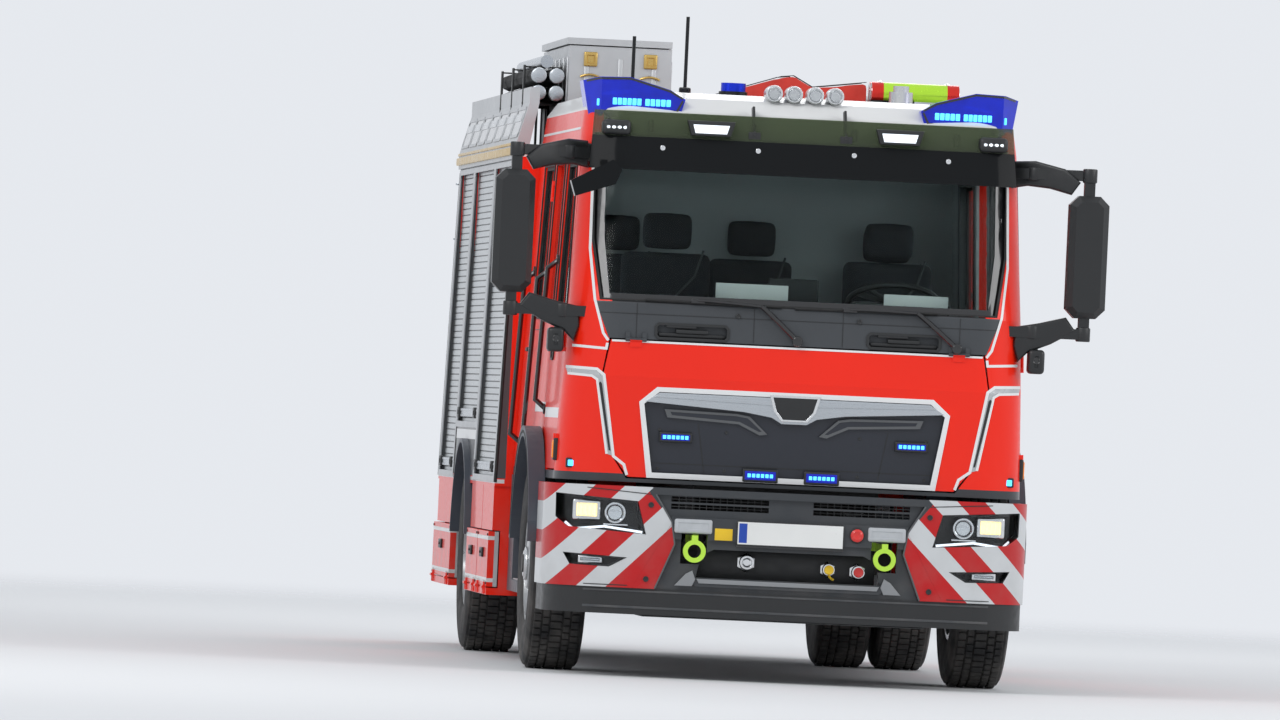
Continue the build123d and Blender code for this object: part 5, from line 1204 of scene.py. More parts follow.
def side_fittings():
    """Window rubbers, seals, handles, seams and lines on the doors and the cab's sides."""
    for side, hand in sides:
        for place, start, end in door_table:
            body = f"door_{place}_{hand}"
            low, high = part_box(f"glass_{place}_{hand}")
            slant = 0.150 if place == "front" else 0.0
            glass_edge = [(low.y, low.z), (high.y, low.z), (high.y, high.z), (low.y + slant, high.z),
                          (low.y, low.z + 0.13)]
            if not slant:
                glass_edge = [(low.y, low.z), (high.y, low.z), (high.y, high.z), (low.y, high.z)]
            middle = Vector(((low.y + high.y) / 2, (low.z + high.z) / 2))
            outer = [(a + math.copysign(0.026, a - middle.x), b + math.copysign(0.026, b - middle.y)) for a,
                     b in glass_edge]
            ring = on_side(side, outer, cab_flank, 0.006, [glass_edge], edge=0.002)
            inner = [(a - math.copysign(0.018, a - middle.x), b - math.copysign(0.018, b - middle.y)) for a,
                     b in glass_edge]
            lip = on_side(side, glass_edge, cab_flank, 0.012, [inner], proud=-0.012)
            piece(f"window_rubber_{place}_{hand}", [ring, lip], rubber, body)
            grip_y = end - 0.165
            pocket = box_outline((grip_y - 0.085, 1.545), (grip_y + 0.085, 1.625), 0.020)
            hollow = box_outline((grip_y - 0.070, 1.557), (grip_y + 0.070, 1.613), 0.014)
            flank = cab_flank(grip_y, 1.585)
            handle = [on_side(side, pocket, cab_flank, 0.008, [hollow], edge=0.003),
                      on_side(side, hollow, cab_flank, 0.003, proud=0.001),
                      bar(sorted((side * (flank + 0.010), side * (flank + 0.026))), (grip_y - 0.062, grip_y + 0.062),
                          (1.588, 1.610), 0.006, 3),
                      disc((side * (flank + 0.004), grip_y + 0.052, 1.568), 0.009, 0.010, "X", vertices=16)]
            piece(f"door_handle_{place}_{hand}", handle, black_plastic, body)
            trim = [on_side(side, band(((start + 0.02, 1.700), (end - 0.02, 1.700)), 0.004), cab_flank, 0.002)]
            piece(f"door_crease_{place}_{hand}", trim, flap_paint, body)
            stripe = on_side(side, band(((start + 0.012, 1.285 if place == "front" else 1.08),
                                         (end - 0.012, 1.285 if place == "front" else 1.08)), 0.050), cab_flank, 0.002)
            piece(f"door_reflector_{place}_{hand}", [stripe], trim_white, body)
    rails, rubbers, lines, feet = [], [], [], []
    for side, hand in sides:
        for y, low, high in ((front + 1.315, 1.30, 2.05), (front + 1.985, 1.12, 2.00), (front + 2.925, 1.12, 2.00)):
            points = [(side * (cab_flank(y, low) - 0.004), y, low),
                      (side * (cab_flank(y, low) + 0.052), y, low + 0.045),
                      (side * (cab_flank(y, high) + 0.052), y, high - 0.045),
                      (side * (cab_flank(y, high) - 0.004), y, high)]
            rails.append(tube(points, 0.014))
            for z in (low, high):
                feet.append(disc((side * (cab_flank(y, z) + 0.004), y, z), 0.026, 0.012, "X", edge=0.003))
        low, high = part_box("cab_glass")
        window = [(front + 1.370, 1.780), (front + 1.930, 1.780), (front + 1.930, 2.530), (front + 1.370, 2.530)]
        outer = [(front + 1.344, 1.754), (front + 1.956, 1.754), (front + 1.956, 2.556), (front + 1.344, 2.556)]
        rubbers.append(on_side(side, outer, cab_flank, 0.006, [window], edge=0.002))
        lines.append(on_side(side, band(((front + 1.30, 1.31), (front + 2.00, 1.31)), 0.050), cab_flank, 0.002))
        lines.append(on_side(side, band(((front + 0.62, 2.700), (front + 3.20, 2.700)), 0.012), cab_flank, 0.002))
    piece("cab_grab_rails", rails, black_gloss)
    piece("cab_rail_feet", feet, black_plastic)
    piece("middle_window_rubbers", rubbers, rubber)
    piece("cab_side_lines", lines, trim_white)


def arch_fittings():
    """Rubber edge on the front wheel arch flares, treads and lights of the cab steps."""
    dark, treads, lights = [], [], []
    for side, _ in sides:
        rim = []
        for i in range(25):
            turn = math.radians(12 + i * 156 / 24)
            rim.append((side * 1.2385, axle_front + 0.662 * math.cos(turn), wheel_height + 0.662 * math.sin(turn)))
        rim = [p for p in rim if not (p[1] < front + 0.77 and p[2] < 1.0)]
        dark.append(tube(rim, 0.010))
        for z in (0.420, 0.700):
            treads.append(bar(sorted((side * 0.90, side * 1.160)), (front + 2.13, front + 2.87), (z, z + 0.008), 0.002,
                              2, (0, 0, 1),
                              ((0.012, 0.0), (0.002, 0.002))))
            for i in range(9):
                treads.append(bar(sorted((side * (0.93 + i * 0.025), side * (0.938 + i * 0.025))),
                                  (front + 2.16, front + 2.84), (z + 0.005, z + 0.0125), 0.001))
            lights.append(bar(sorted((side * 1.148, side * 1.162)), (front + 2.15, front + 2.85),
                              (z + 0.215, z + 0.226), 0.003))
    piece("arch_rubber_edges", dark, rubber)
    piece("cab_step_treads", treads, slat_metal)
    piece("cab_step_lights", lights, white_light)


# ---------------------------------------------------------------- locker body
shutter_table = ((body_start + 0.060, front + 4.910, 0.930), (front + 4.970, front + 6.560, 1.200),
                 (front + 6.620, rear - 0.060, 0.930))


def plain_flank(y, z):
    return body_flank(z)


def shutter_fittings():
    """Guide rails, and hand bars with latches, of the roller shutters."""
    guides, bars, latches = [], [], []
    for side, _ in sides:
        for start, end, low in shutter_table:
            outer = [(start - 0.030, low - 0.020), (end + 0.030, low - 0.020), (end + 0.030, 2.574),
                     (start - 0.030, 2.574)]
            inner = [(start + 0.028, low + 0.012), (end - 0.028, low + 0.012), (end - 0.028, 2.545),
                     (start + 0.028, 2.545)]
            guides.append(on_side(side, outer, plain_flank, 0.006, [inner], edge=0.002))
            for y in (start + 0.014, end - 0.014):
                guides.append(on_side(side, band(((y, low + 0.01), (y, 2.55)), 0.004), plain_flank, 0.010, proud=0.001))
            x = body_flank(low + 0.058)
            bars.append(bar(sorted((side * (x - 0.020), side * (x + 0.004))), (start + 0.034, end - 0.034),
                            (low + 0.036, low + 0.080), 0.005, 3,
                            (side, 0, 0), ((0.007, 0.0), (0.002, 0.003))))
            for y in (start + 0.16, end - 0.16):
                latches.append(bar(sorted((side * (x - 0.004), side * (x + 0.014))), (y - 0.055, y + 0.055),
                                   (low + 0.030, low + 0.088), 0.006, 3,
                                   (side, 0, 0), ((0.010, 0.0), (0.003, 0.006))))
    rear_outer = box_outline((-0.885, 1.035), (0.885, 2.580))
    rear_inner = box_outline((-0.835, 1.075), (0.835, 2.545))
    guide = flat(rear_outer, 0.006, [rear_inner], 0.002)
    guide.data.transform(Matrix.Translation((0, rear + 0.003, 0)))
    guides.append(guide)
    bars.append(bar((-0.83, 0.83), (rear - 0.022, rear + 0.006), (1.095, 1.140), 0.005, 3, (0, 1, 0),
                    ((0.007, 0.0), (0.002, 0.003))))
    latches += [bar((x - 0.06, x + 0.06), (rear - 0.010, rear + 0.014), (1.088, 1.148), 0.006,
                    3) for x in (-0.55, 0.55)]
    piece("shutter_guides", guides, sheet_metal)
    piece("shutter_hand_bars", bars, satin_metal)
    piece("shutter_latches", latches, black_plastic)


def body_lines():
    """Reflective lines, corner mouldings and seams on the locker body."""
    marks, seams = [], []
    for side, _ in sides:
        seams.append(on_side(side, band(((front + 4.940, 0.93), (front + 4.940, 2.56)), 0.006), plain_flank, 0.003))
        seams.append(on_side(side, band(((front + 6.590, 0.93), (front + 6.590, 2.56)), 0.006), plain_flank, 0.003))
        corner = [(side * (body_flank(z) - 0.004), rear - 0.004, z) for z in (0.91, 1.7, 2.56)]
        seams.append(tube(corner, 0.010))
        corner = [(side * (body_flank(z) - 0.004), body_start + 0.006, z) for z in (0.91, 1.7, 2.56)]
        seams.append(tube(corner, 0.010))
        marks.append(on_side(side, box_outline((front + 4.99, 1.120), (front + 6.54, 1.170)), plain_flank, 0.002))
    for x in (-1.10, 1.10):
        mark = flat(box_outline((x - 0.040, 1.74), (x + 0.040, 2.50)), 0.002)
        mark.data.transform(Matrix.Translation((0, rear + 0.001, 0)))
        marks.append(mark)
    piece("body_reflective_lines", marks, trim_white)
    piece("body_seams", seams, rubber)


def step_fittings():
    """Handles with their screws, and white lines, on the fold-down step flaps."""
    for side, hand in sides:
        for name in ("front", "middle", "rear"):
            body = f"step_{name}_{hand}"
            low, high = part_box(body)
            face = side * 1.268
            a, b = low.y + 0.008, high.y - 0.008
            lines = [bar(sorted((face - side * 0.001, face + side * 0.002)), (a, b), (z, z + 0.016),
                         0.0008) for z in (0.402, 0.612)]
            piece(f"{body}_lines", lines, trim_white, body)
            middle = (a + b) / 2
            parts = [bar(sorted((face, face + side * 0.012)), (middle - 0.09, middle + 0.09), (0.520, 0.570), 0.008, 3,
                         (side, 0, 0),
                         ((0.012, 0.0), (0.003, 0.007))),
                     bar(sorted((face + side * 0.004, face + side * 0.012)), (middle - 0.06, middle + 0.06),
                         (0.550, 0.560), 0.003)]
            parts += [disc((face + side * 0.002, y, z), 0.007, 0.006, "X",
                           vertices=12) for y in (a + 0.03, b - 0.03) for z in (0.39, 0.64)]
            piece(f"{body}_handle", parts, black_plastic, body)


def gallery_fittings():
    """Slanted panels with dark recesses and light strips, and the brass-coloured rail below them."""
    recesses, strips, rails, frames = [], [], [], []
    foot_x, top_x = body_flank(2.60) + 0.014, body_flank(2.60) - 0.045

    def slope(y, z):
        if z < 2.66:
            return foot_x
        return foot_x - (foot_x - top_x) * (z - 2.66) / 0.21

    count = 7
    length = (rear - 0.04 - body_start - 0.04) / count
    for side, _ in sides:
        for i in range(count):
            a = body_start + 0.04 + i * length + 0.03
            b = a + length - 0.06
            outer = box_outline((a, 2.690), (b, 2.850), 0.022)
            inner = box_outline((a + 0.018, 2.706), (b - 0.018, 2.834), 0.016)
            frames.append(on_side(side, outer, slope, 0.006, [inner], edge=0.002))
            recesses.append(on_side(side, inner, slope, 0.003, proud=0.001))
            strips.append(on_side(side, box_outline((a + 0.05, 2.775), (b - 0.05, 2.815), 0.008), slope, 0.006,
                                  proud=0.004, edge=0.002))
        rails.append(bar(sorted((side * (foot_x - 0.002), side * (foot_x + 0.014))), (body_start + 0.01, rear - 0.01),
                         (2.600, 2.640), 0.005, 3))
        rails.append(bar(sorted((side * (foot_x - 0.002), side * (foot_x + 0.006))), (body_start + 0.01, rear - 0.01),
                         (2.650, 2.664), 0.002))
    piece("gallery_frames", frames, sheet_metal)
    piece("gallery_recesses", recesses, black_gloss)
    piece("gallery_light_strips", strips, smoke_lens)
    piece("gallery_brass_rails", rails, brass)


def roof_body_fittings():
    """Tread plate on the body roof, ribs and latches of the roof box, and rung sleeves of the ladder."""
    tread = []
    for x0, x1 in ((-0.38, 0.36), (-1.14, -0.99), (0.93, 1.14)):
        tread.append(bar((x0, x1), (body_start + 0.08, rear - 0.08), (2.600, 2.604), 0.001))
    piece("roof_tread_plates", tread, tread_metal)
    ribs, latches = [], []
    for i in range(7):
        y = front + 3.56 + i * 0.296
        ribs.append(bar((-0.4205, -0.412), (y - 0.012, y + 0.012), (2.66, 3.12), 0.003))
        ribs.append(bar((-0.958, -0.9495), (y - 0.012, y + 0.012), (2.66, 3.12), 0.003))
    for x in (-0.86, -0.685, -0.51):
        ribs.append(bar((x - 0.012, x + 0.012), (front + 3.492, front + 3.5005), (2.66, 3.12), 0.003))
    piece("roof_box_ribs", ribs, sheet_metal)
    for x in (-0.84, -0.53):
        latches.append(bar((x - 0.035, x + 0.035), (front + 3.484, front + 3.5005), (3.075, 3.150), 0.006, 3,
                           (0, -1, 0), ((0.010, 0.0), (0.003, 0.005))))
        latches.append(tube([(x - 0.05, front + 3.488, 3.02), (x, front + 3.480, 3.045),
                             (x + 0.05, front + 3.488, 3.02)], 0.006, kind="NURBS"))
    piece("roof_box_latches", latches, brass)
    low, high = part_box("ladders")
    sleeves = []
    for i in range(11):
        y = low.y + 0.15 + i * (high.y - low.y - 0.30) / 10
        sleeves += [disc((x, y, 3.0), 0.030, 0.012, "X", edge=0.003,
                         vertices=20) for x in (0.420 + 0.030, 0.880 - 0.030)]
    piece("ladder_sleeves", sleeves, lime_paint)


def hose_rack():
    """Rack of ribbed suction hoses and a grey pipe along the right edge of the body roof."""
    start, ribs, pitch = front + 3.56, 112, 0.020
    spine = [(0.0, start + i * pitch, 0.0) for i in range(ribs)]
    hose = tube(spine, 0.044, resolution=2, widths=[1.0 if i % 2 else 0.86 for i in range(ribs)])
    ends = [disc((0.0, y, 0.0), 0.040, 0.050, "Y", edge=0.006, vertices=20)
            for y in (start - 0.012, start + ribs * pitch - 0.008)]
    places = shifts((-1.100, 0, 2.928), (-1.008, 0, 2.928), (-1.100, 0, 3.018), (-1.008, 0, 3.018))
    piece("suction_hoses", copies(hose, places), rubber)
    couplings = [c for end in ends for c in copies(end, places)]
    pipe = tube([(-1.054, start + 0.10, 3.094), (-1.054, start + 1.9, 3.094)], 0.034, resolution=5)
    piece("hose_couplings_and_pipe", couplings + [pipe], satin_metal)
    frames = []
    for y in (start + 0.25, start + 1.10, start + 1.95):
        frames.append(bar((-1.165, -0.965), (y - 0.018, y + 0.018), (2.868, 2.884), 0.004))
        frames += [bar((x - 0.006, x + 0.006), (y - 0.018, y + 0.018), (2.604, 3.075), 0.003) for x in (-1.158, -0.968)]
        frames.append(bar((-1.160, -0.966), (y - 0.012, y + 0.012), (3.062, 3.070), 0.002))
    piece("hose_rack_frames", frames, black_plastic)


def rear_fittings():
    """Rear ladder, grab handles, plate frame, reflectors and two dark bars at the top of the back."""
    steel, dark, reds = [], [], []
    for z in (1.30, 1.60, 1.90, 2.20, 2.50):
        steel.append(tube([(-1.225, rear + 0.001, z), (-1.215, rear + 0.014, z), (-0.935, rear + 0.014, z),
                           (-0.925, rear + 0.001, z)], 0.006))
    for side, _ in sides:
        steel.append(tube([(side * 0.935, rear + 0.001, 1.75), (side * 0.935, rear + 0.013, 1.78),
                           (side * 0.935, rear + 0.013, 2.30),
                           (side * 0.935, rear + 0.001, 2.33)], 0.006))
        reds.append(disc((side * 1.05, rear + 0.004, 1.02), 0.034, 0.010, "Y", edge=0.002,
                         steps=((0.004, 0.0), (0.004, 0.002))))
        low, high = sorted((side * 0.62, side * 1.16))
        reds.append(bar((low, high), (rear + 0.0115, rear + 0.0145), (0.545, 0.590), 0.001))
    frame = flat(box_outline((0.144, 0.474), (0.676, 0.596), 0.008), 0.006,
                 [box_outline((0.156, 0.486), (0.664, 0.584))], 0.001)
    frame.data.transform(Matrix.Translation((0, rear + 0.014, 0)))
    dark.append(frame)
    for x in (-0.60, 0.60):
        dark.append(bar((x - 0.09, x + 0.09), (rear - 0.01, rear + 0.014), (2.585, 2.598), 0.004))
    piece("rear_rungs_and_handles", steel, satin_metal)
    piece("rear_dark_fittings", dark, black_plastic)
    piece("rear_reflectors", reds, red_lens)


# ---------------------------------------------------------------- wheels
def tyre_pattern():
    """Tyre with side rings, a shoulder step and five rows of tread blocks, at the origin."""
    profile = [(-0.117, 0.287), (-0.132, 0.300), (-0.138, 0.330), (-0.1445, 0.385), (-0.1445, 0.420), (-0.141, 0.450),
               (-0.1435, 0.456), (-0.1415, 0.470), (-0.137, 0.490), (-0.127, 0.506), (-0.112, 0.5085)]
    profile += [(-a, b) for a, b in reversed(profile)]
    take()
    data = bpy.data.meshes.new("tyre_ring")
    ring = bpy.data.objects.new("tyre_ring", data)
    data.from_pydata([(a, 0.0, b) for a, b in profile], [(i, (i + 1) % len(profile)) for i in range(len(profile))], [])
    bpy.context.scene.collection.objects.link(ring)
    take(ring)
    bpy.ops.object.mode_set(mode="EDIT")
    bpy.ops.mesh.select_all(action="SELECT")
    bpy.ops.mesh.spin(steps=72, angle=2 * math.pi, center=(0, 0, 0), axis=(1, 0, 0))
    bpy.ops.mesh.select_all(action="SELECT")
    bpy.ops.mesh.remove_doubles(threshold=0.0005)
    bpy.ops.mesh.normals_make_consistent(inside=False)
    bpy.ops.object.mode_set(mode="OBJECT")
    rows = []
    for low, high, shift in ((-0.114, -0.076, 0.0), (-0.068, -0.036, 0.5), (-0.028, 0.028, 0.0), (0.036, 0.068, 0.5),
                             (0.076, 0.114, 0.0)):
        rows.append(bar((low, high), (-0.0175, 0.0175), (0.505, 0.5212), 0.003, 1))
        rows[-1].data.transform(Matrix.Rotation(shift * 2 * math.pi / 72, 4, "X"))
    row = rows[0]
    take(row)
    for other in rows:
        other.select_set(True)
    bpy.ops.object.join()
    blocks = copies(row, [Matrix.Rotation(i * 2 * math.pi / 72, 4, "X") for i in range(72)])
    take(settle(ring, angle=40.0))
    for block in blocks:
        block.select_set(True)
    bpy.ops.object.join()
    return ring


def wheel_trim(side, face_x):
    """Ring of ten hex nuts, each with a round stud end, on a wheel's outer face."""
    parts = []
    for i in range(10):
        turn = 2 * math.pi * (i + 0.5) / 10
        y, z = 0.1675 * math.cos(turn), 0.1675 * math.sin(turn)
        nut = disc((side * (face_x + 0.010), y, z), 0.0165, 0.026, "X", edge=0.002, vertices=6)
        parts.append(nut)
        parts.append(disc((side * (face_x + 0.026), y, z), 0.0095, 0.014, "X", edge=0.002, vertices=16))
    for part in parts:
        part.data.transform(Matrix.Translation((0, 0, wheel_height)))
    return parts


def hub(side, centre_x, radius, depth):
    """Hub cap with a stepped face."""
    steps = ((0.010, 0.0), (0.006, -0.006), (0.020, 0.0), (0.008, 0.005))
    cap = disc((0, 0, 0), radius, depth, "X", edge=0.005, vertices=40, steps=steps)
    if side < 0:
        cap.data.transform(Matrix.Rotation(math.pi, 4, "Z"))
    cap.data.transform(Matrix.Translation((side * centre_x, 0, wheel_height)))
    return cap


def wheels():
    """Tyres with tread, nuts and hub caps for the front wheels and the twin rear wheels."""
    places = [(side, hand, axle_front, (1.063,)) for side,
              hand in sides] + [(side, hand, axle_rear, (1.095, 0.775)) for side, hand in sides]
    moves = [Matrix.Translation((side * x, axle, wheel_height)) for side, _, axle, across in places for x in across]
    tyres = copies(tyre_pattern(), moves)
    for side, hand, axle, across in places:
        twin_wheels = len(across) == 2
        body = f"wheels_rear_{hand}" if twin_wheels else f"wheel_front_{hand}"
        made = piece(f"tread_{body}", [tyres.pop(0) for _ in across], tyre_rubber, body)
        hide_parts(f"tyres_rear_{hand}" if twin_wheels else f"tyre_front_{hand}")
        face, cap = (1.047, 1.149) if twin_wheels else (1.145, 1.197)
        trim = wheel_trim(side, face) + [hub(side, cap, 0.084, 0.020)]
        for part in trim:
            part.data.transform(Matrix.Translation((0, axle, 0)))
        piece(f"wheel_nuts_{body}", trim, rim_bright, body)


# ---------------------------------------------------------------- seats and cab inside
def pad(low, high):
    """Seat pad blown up as cloth from a remeshed block, its swelling then held close to the block."""
    take()
    middle = [(a + b) / 2 for a, b in zip(low, high)]
    size = [b - a for a, b in zip(low, high)]
    bpy.ops.mesh.primitive_cube_add(size=1.0, location=(0, 0, 0), scale=[a - 0.012 for a in size])
    shape = settle(bpy.context.object, min(size) * 0.30, 4)
    grid = shape.modifiers.new("grid", "REMESH")
    grid.mode, grid.voxel_size = "VOXEL", 0.014
    bpy.ops.object.modifier_apply(modifier="grid")
    bpy.ops.object.mode_set(mode="EDIT")
    bpy.ops.mesh.select_all(action="SELECT")
    bpy.ops.mesh.vertices_smooth(factor=0.5, repeat=2)
    bpy.ops.object.mode_set(mode="OBJECT")
    starts = [vertex.co.copy() for vertex in shape.data.vertices]
    cloth = shape.modifiers.new("filling", "CLOTH")
    cloth.settings.use_pressure = True
    cloth.settings.uniform_pressure_force = 4.0
    cloth.settings.quality = 6
    cloth.settings.effector_weights.gravity = 0.0
    cloth.point_cache.frame_start, cloth.point_cache.frame_end = 1, 20
    for step in range(1, 21):
        bpy.context.scene.frame_set(step)
    take(shape)
    bpy.ops.object.modifier_apply(modifier="filling")
    bpy.context.scene.frame_set(1)
    for vertex, start in zip(shape.data.vertices, starts):
        for axis in range(3):
            limit = size[axis] / 2
            place = min(max(vertex.co[axis], start[axis] - 0.014), start[axis] + 0.014)
            vertex.co[axis] = min(max(place, -limit), limit)
    shape.data.transform(Matrix.Translation(middle))
    return settle(shape, angle=60.0)


def seats():
    """Padded cushions, backs and headrests on plinths, with belts over the backs; one seat of each width is made and copied."""
    low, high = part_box("seats")
    pads, plinths, belts = [], [], []
    for width in (0.500, 0.480):
        half = width / 2 - 0.006
        moves = shifts(*[(x, back, 0.0) for x, back, wide in seat_places if wide == width])
        pads += copies(pad((-half, -0.552, 1.576), (half, -0.068, 1.714)), moves)
        pads += copies(pad((-half, -0.124, 1.600), (half, -0.006, 2.132)), moves)
        pads += copies(pad((-0.129, -0.115, 2.126), (0.129, -0.015, 2.314)), moves)
        plinths += copies(bar((-half + 0.03, half - 0.03), (-0.50, -0.10), (low.z + 0.002, 1.572), 0.012, 3), moves)
        plinths += copies(bar((-half + 0.01, -half + 0.05), (-0.54, -0.08), (1.555, 1.590), 0.008), moves)
        belt = [(half - 0.06, -0.118, 2.13), (half - 0.10, -0.132, 2.0), (-half + 0.16, -0.132, 1.74)]
        belts += copies(tube(belt, 0.006), moves)
        belts += copies(tube([(-half + 0.02, -0.30, 1.712), (0.0, -0.30, 1.722), (half - 0.02, -0.30, 1.712)], 0.004,
                             kind="NURBS"), moves)
    cushions = piece("seat_pads", pads, seat_cloth)
    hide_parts("seats")
    piece("seat_plinths", plinths, grey_trim)
    return belts


seat_places = ((0.560, front + 1.560, 0.500), (-0.560, front + 1.560, 0.500), (0.700, front + 3.140, 0.480),
               (0.0, front + 3.140, 0.480), (-0.700, front + 3.140, 0.480))


def cab_inside_fittings():
    """Instrument hood, wheel spokes, screens, air outlets and the signs behind the windscreen, all blank."""
    dark, screens, whites, vents = [], [], [], []
    dark.append(bar((0.30, 0.78), (front + 0.40, front + 0.62), (1.850, 1.905), 0.016, 3, (0, 1, 0),
                    ((0.014, 0.0), (0.002, 0.02))))
    dark.append(bar((-0.22, 0.20), (front + 0.36, front + 0.60), (1.850, 1.880), 0.014, 3))
    screens.append(bar((-0.10, 0.12), (front + 0.600, front + 0.612), (1.870, 1.990), 0.006))
    dark.append(bar((-0.115, 0.135), (front + 0.585, front + 0.602), (1.858, 2.002), 0.010, 3))
    centre = Vector((0.520, front + 0.720, 1.900))
    for turn in (0.3, 2.4, 4.5):
        tip = centre + Vector((math.cos(turn) * 0.19, math.sin(turn) * 0.10, math.sin(turn) * 0.12))
        dark.append(tube([centre, tip], 0.012))
    dark.append(disc(centre, 0.050, 0.030, "Y", edge=0.010))
    for x in (-0.80, -0.40, 0.0, 0.88):
        vents.append(bar((x - 0.06, x + 0.06), (front + 0.30, front + 0.33), (1.846, 1.852), 0.002))
    whites.append(bar((-0.388, -0.028), (front + 0.445, front + 0.450), (1.884, 1.964), 0.002))
    whites.append(bar((0.440, 0.760), (front + 0.345, front + 0.350), (1.855, 1.945), 0.002))
    mirror = [(-0.09, 2.52), (0.09, 2.52), (0.09, 2.58), (-0.09, 2.58)]
    stem = flat(mirror, 0.020, edge=0.004)
    stem.data.transform(Matrix.Translation((0, front + 0.42, 0)))
    dark.append(stem)
    piece("dash_details", dark + vents, black_plastic)
    piece("dash_screen", screens, black_gloss)
    piece("blank_signs_behind_screen", whites, plate_white)


# ---------------------------------------------------------------- chassis
def chassis_fittings():
    """Brake chambers, air lines and bolt heads on the chassis."""
    dark = []
    low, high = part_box("tanks")
    for side, _ in sides:
        for y in (axle_front, axle_rear):
            dark.append(disc((side * 0.55, y - 0.16, 0.62), 0.075, 0.12, "Y", edge=0.012,
                             steps=((0.03, 0.0), (0.005, 0.01))))
        run = [(side * 0.40, -3.2, 0.93), (side * 0.41, -2.2, 0.95), (side * 0.41, 0.4, 0.95), (side * 0.40, 1.5, 0.94)]
        dark.append(tube(run, 0.009, kind="NURBS"))
        for y in (-3.2, -1.6, -0.8, 0.2, 0.9, 2.6, 3.2):
            dark.append(disc((side * 0.438, y, 0.86), 0.014, 0.012, "X", edge=0.002, vertices=6))
    piece("brake_chambers_and_lines", dark, cast_paint)


# ---------------------------------------------------------------- camera, light and floor
def set_camera():
    """Long lens, far off to the vehicle's right front, as in the photograph."""
    yaw, pitch, roll = math.radians(4.41), math.radians(0.182), math.radians(2.68)
    ahead = Vector((math.sin(yaw) * math.cos(pitch), math.cos(yaw) * math.cos(pitch), math.sin(pitch)))
    level = Vector((math.cos(yaw), -math.sin(yaw), 0.0))
    up = level.cross(ahead)
    right = level * math.cos(roll) + up * math.sin(roll)
    top = up * math.cos(roll) - level * math.sin(roll)
    data = bpy.data.cameras.new("photo_camera")
    data.lens = 402.1
    data.sensor_width = 36.0
    data.clip_end = 2000.0
    camera = bpy.data.objects.new("photo_camera", data)
    turn = Matrix((right, top, -ahead)).transposed().to_4x4()
    camera.matrix_world = Matrix.Translation((-6.188, -74.025, 1.339)) @ turn
    bpy.context.scene.collection.objects.link(camera)
    bpy.context.scene.camera = camera


def set_world():
    """Even pale sky: one strength for light, another for what the camera, gloss and glass show."""
    world = bpy.data.worlds.new("studio_sky")
    bpy.context.scene.world = world
    world.use_nodes = True
    tree = world.node_tree
    background = tree.nodes["Background"]
    path = tree.nodes.new("ShaderNodeLightPath")
    seen = tree.nodes.new("ShaderNodeMath")
    seen.operation = "MAXIMUM"
    tree.links.new(path.outputs["Is Camera Ray"], seen.inputs[0])
    seen_all = tree.nodes.new("ShaderNodeMath")
    seen_all.operation = "MAXIMUM"
    tree.links.new(path.outputs["Is Glossy Ray"], seen.inputs[1])
    tree.links.new(seen.outputs[0], seen_all.inputs[0])
    tree.links.new(path.outputs["Is Transmission Ray"], seen_all.inputs[1])
    strength = tree.nodes.new("ShaderNodeMapRange")
    strength.inputs["To Min"].default_value = 0.62
    strength.inputs["To Max"].default_value = 0.86
    tree.links.new(seen_all.outputs[0], strength.inputs["Value"])
    background.inputs["Color"].default_value = (0.92, 0.95, 1.0, 1.0)
    tree.links.new(strength.outputs[0], background.inputs["Strength"])


def add_light(name, place, target, size, power):
    data = bpy.data.lights.new(name, "AREA")
    data.shape = "RECTANGLE"
    data.size, data.size_y = size
    data.energy = power
    light = bpy.data.objects.new(name, data)
    light.location = place
    light.rotation_mode = "QUATERNION"
    light.rotation_quaternion = (Vector(target) - Vector(place)).to_track_quat("-Z", "Y")
    light.visible_camera = False
    bpy.context.scene.collection.objects.link(light)


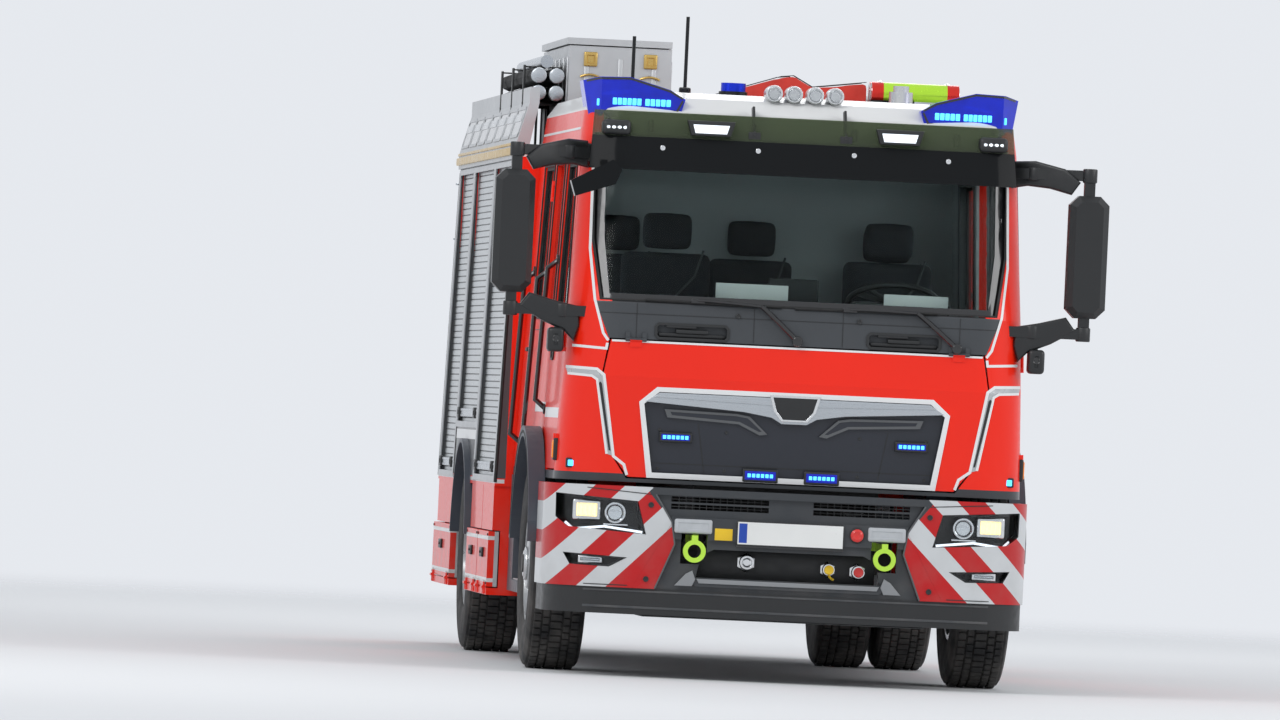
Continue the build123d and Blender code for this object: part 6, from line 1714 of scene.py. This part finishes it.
def add_floor():
    """Pale floor that fades into the background far out."""
    bpy.ops.mesh.primitive_circle_add(vertices=96, radius=60.0, fill_type="NGON", location=(0, 0, 0))
    floor = bpy.context.object
    floor.name = "studio_floor"
    material = bpy.data.materials.new("studio_floor")
    material.use_nodes = True
    tree = material.node_tree
    shader = tree.nodes["Principled BSDF"]
    shader.inputs["Base Color"].default_value = (0.80, 0.81, 0.82, 1.0)
    shader.inputs["Roughness"].default_value = 0.8
    place = tree.nodes.new("ShaderNodeTexCoord")
    reach = tree.nodes.new("ShaderNodeVectorMath")
    reach.operation = "LENGTH"
    tree.links.new(place.outputs["Object"], reach.inputs[0])
    fade = tree.nodes.new("ShaderNodeMapRange")
    fade.interpolation_type = "SMOOTHSTEP"
    fade.inputs["From Min"].default_value = 7.0
    fade.inputs["From Max"].default_value = 26.0
    tree.links.new(reach.outputs["Value"], fade.inputs["Value"])
    see_through = tree.nodes.new("ShaderNodeBsdfTransparent")
    mix = tree.nodes.new("ShaderNodeMixShader")
    tree.links.new(fade.outputs[0], mix.inputs[0])
    tree.links.new(shader.outputs[0], mix.inputs[1])
    tree.links.new(see_through.outputs[0], mix.inputs[2])
    tree.links.new(mix.outputs[0], tree.nodes["Material Output"].inputs["Surface"])
    floor.data.materials.append(material)


set_camera()
set_world()
add_light("key_panel", (-9.0, -12.0, 11.0), (0, -1.5, 1.5), (9.0, 6.0), 820.0)
add_light("fill_panel", (11.0, -8.0, 7.0), (0, -1.0, 1.5), (8.0, 5.0), 450.0)
add_light("rear_panel", (2.0, 13.0, 10.0), (0, 1.0, 1.5), (9.0, 5.0), 430.0)
add_floor()

contour_lines()
ducts()
grille_trim()
flash_lamps()
corner_lamps()
screen_trim()
cowl_fittings()
wipers()
visor_fittings()
light_modules()
headlamps()
bumper_fittings()
apron_lines()
mirror_fittings()
roof_lamps()
roof_fittings()
soft_cover()
side_fittings()
arch_fittings()
shutter_fittings()
body_lines()
step_fittings()
gallery_fittings()
roof_body_fittings()
hose_rack()
rear_fittings()
wheels()
piece("seat_belts", seats(), seat_piping)
cab_inside_fittings()
chassis_fittings()
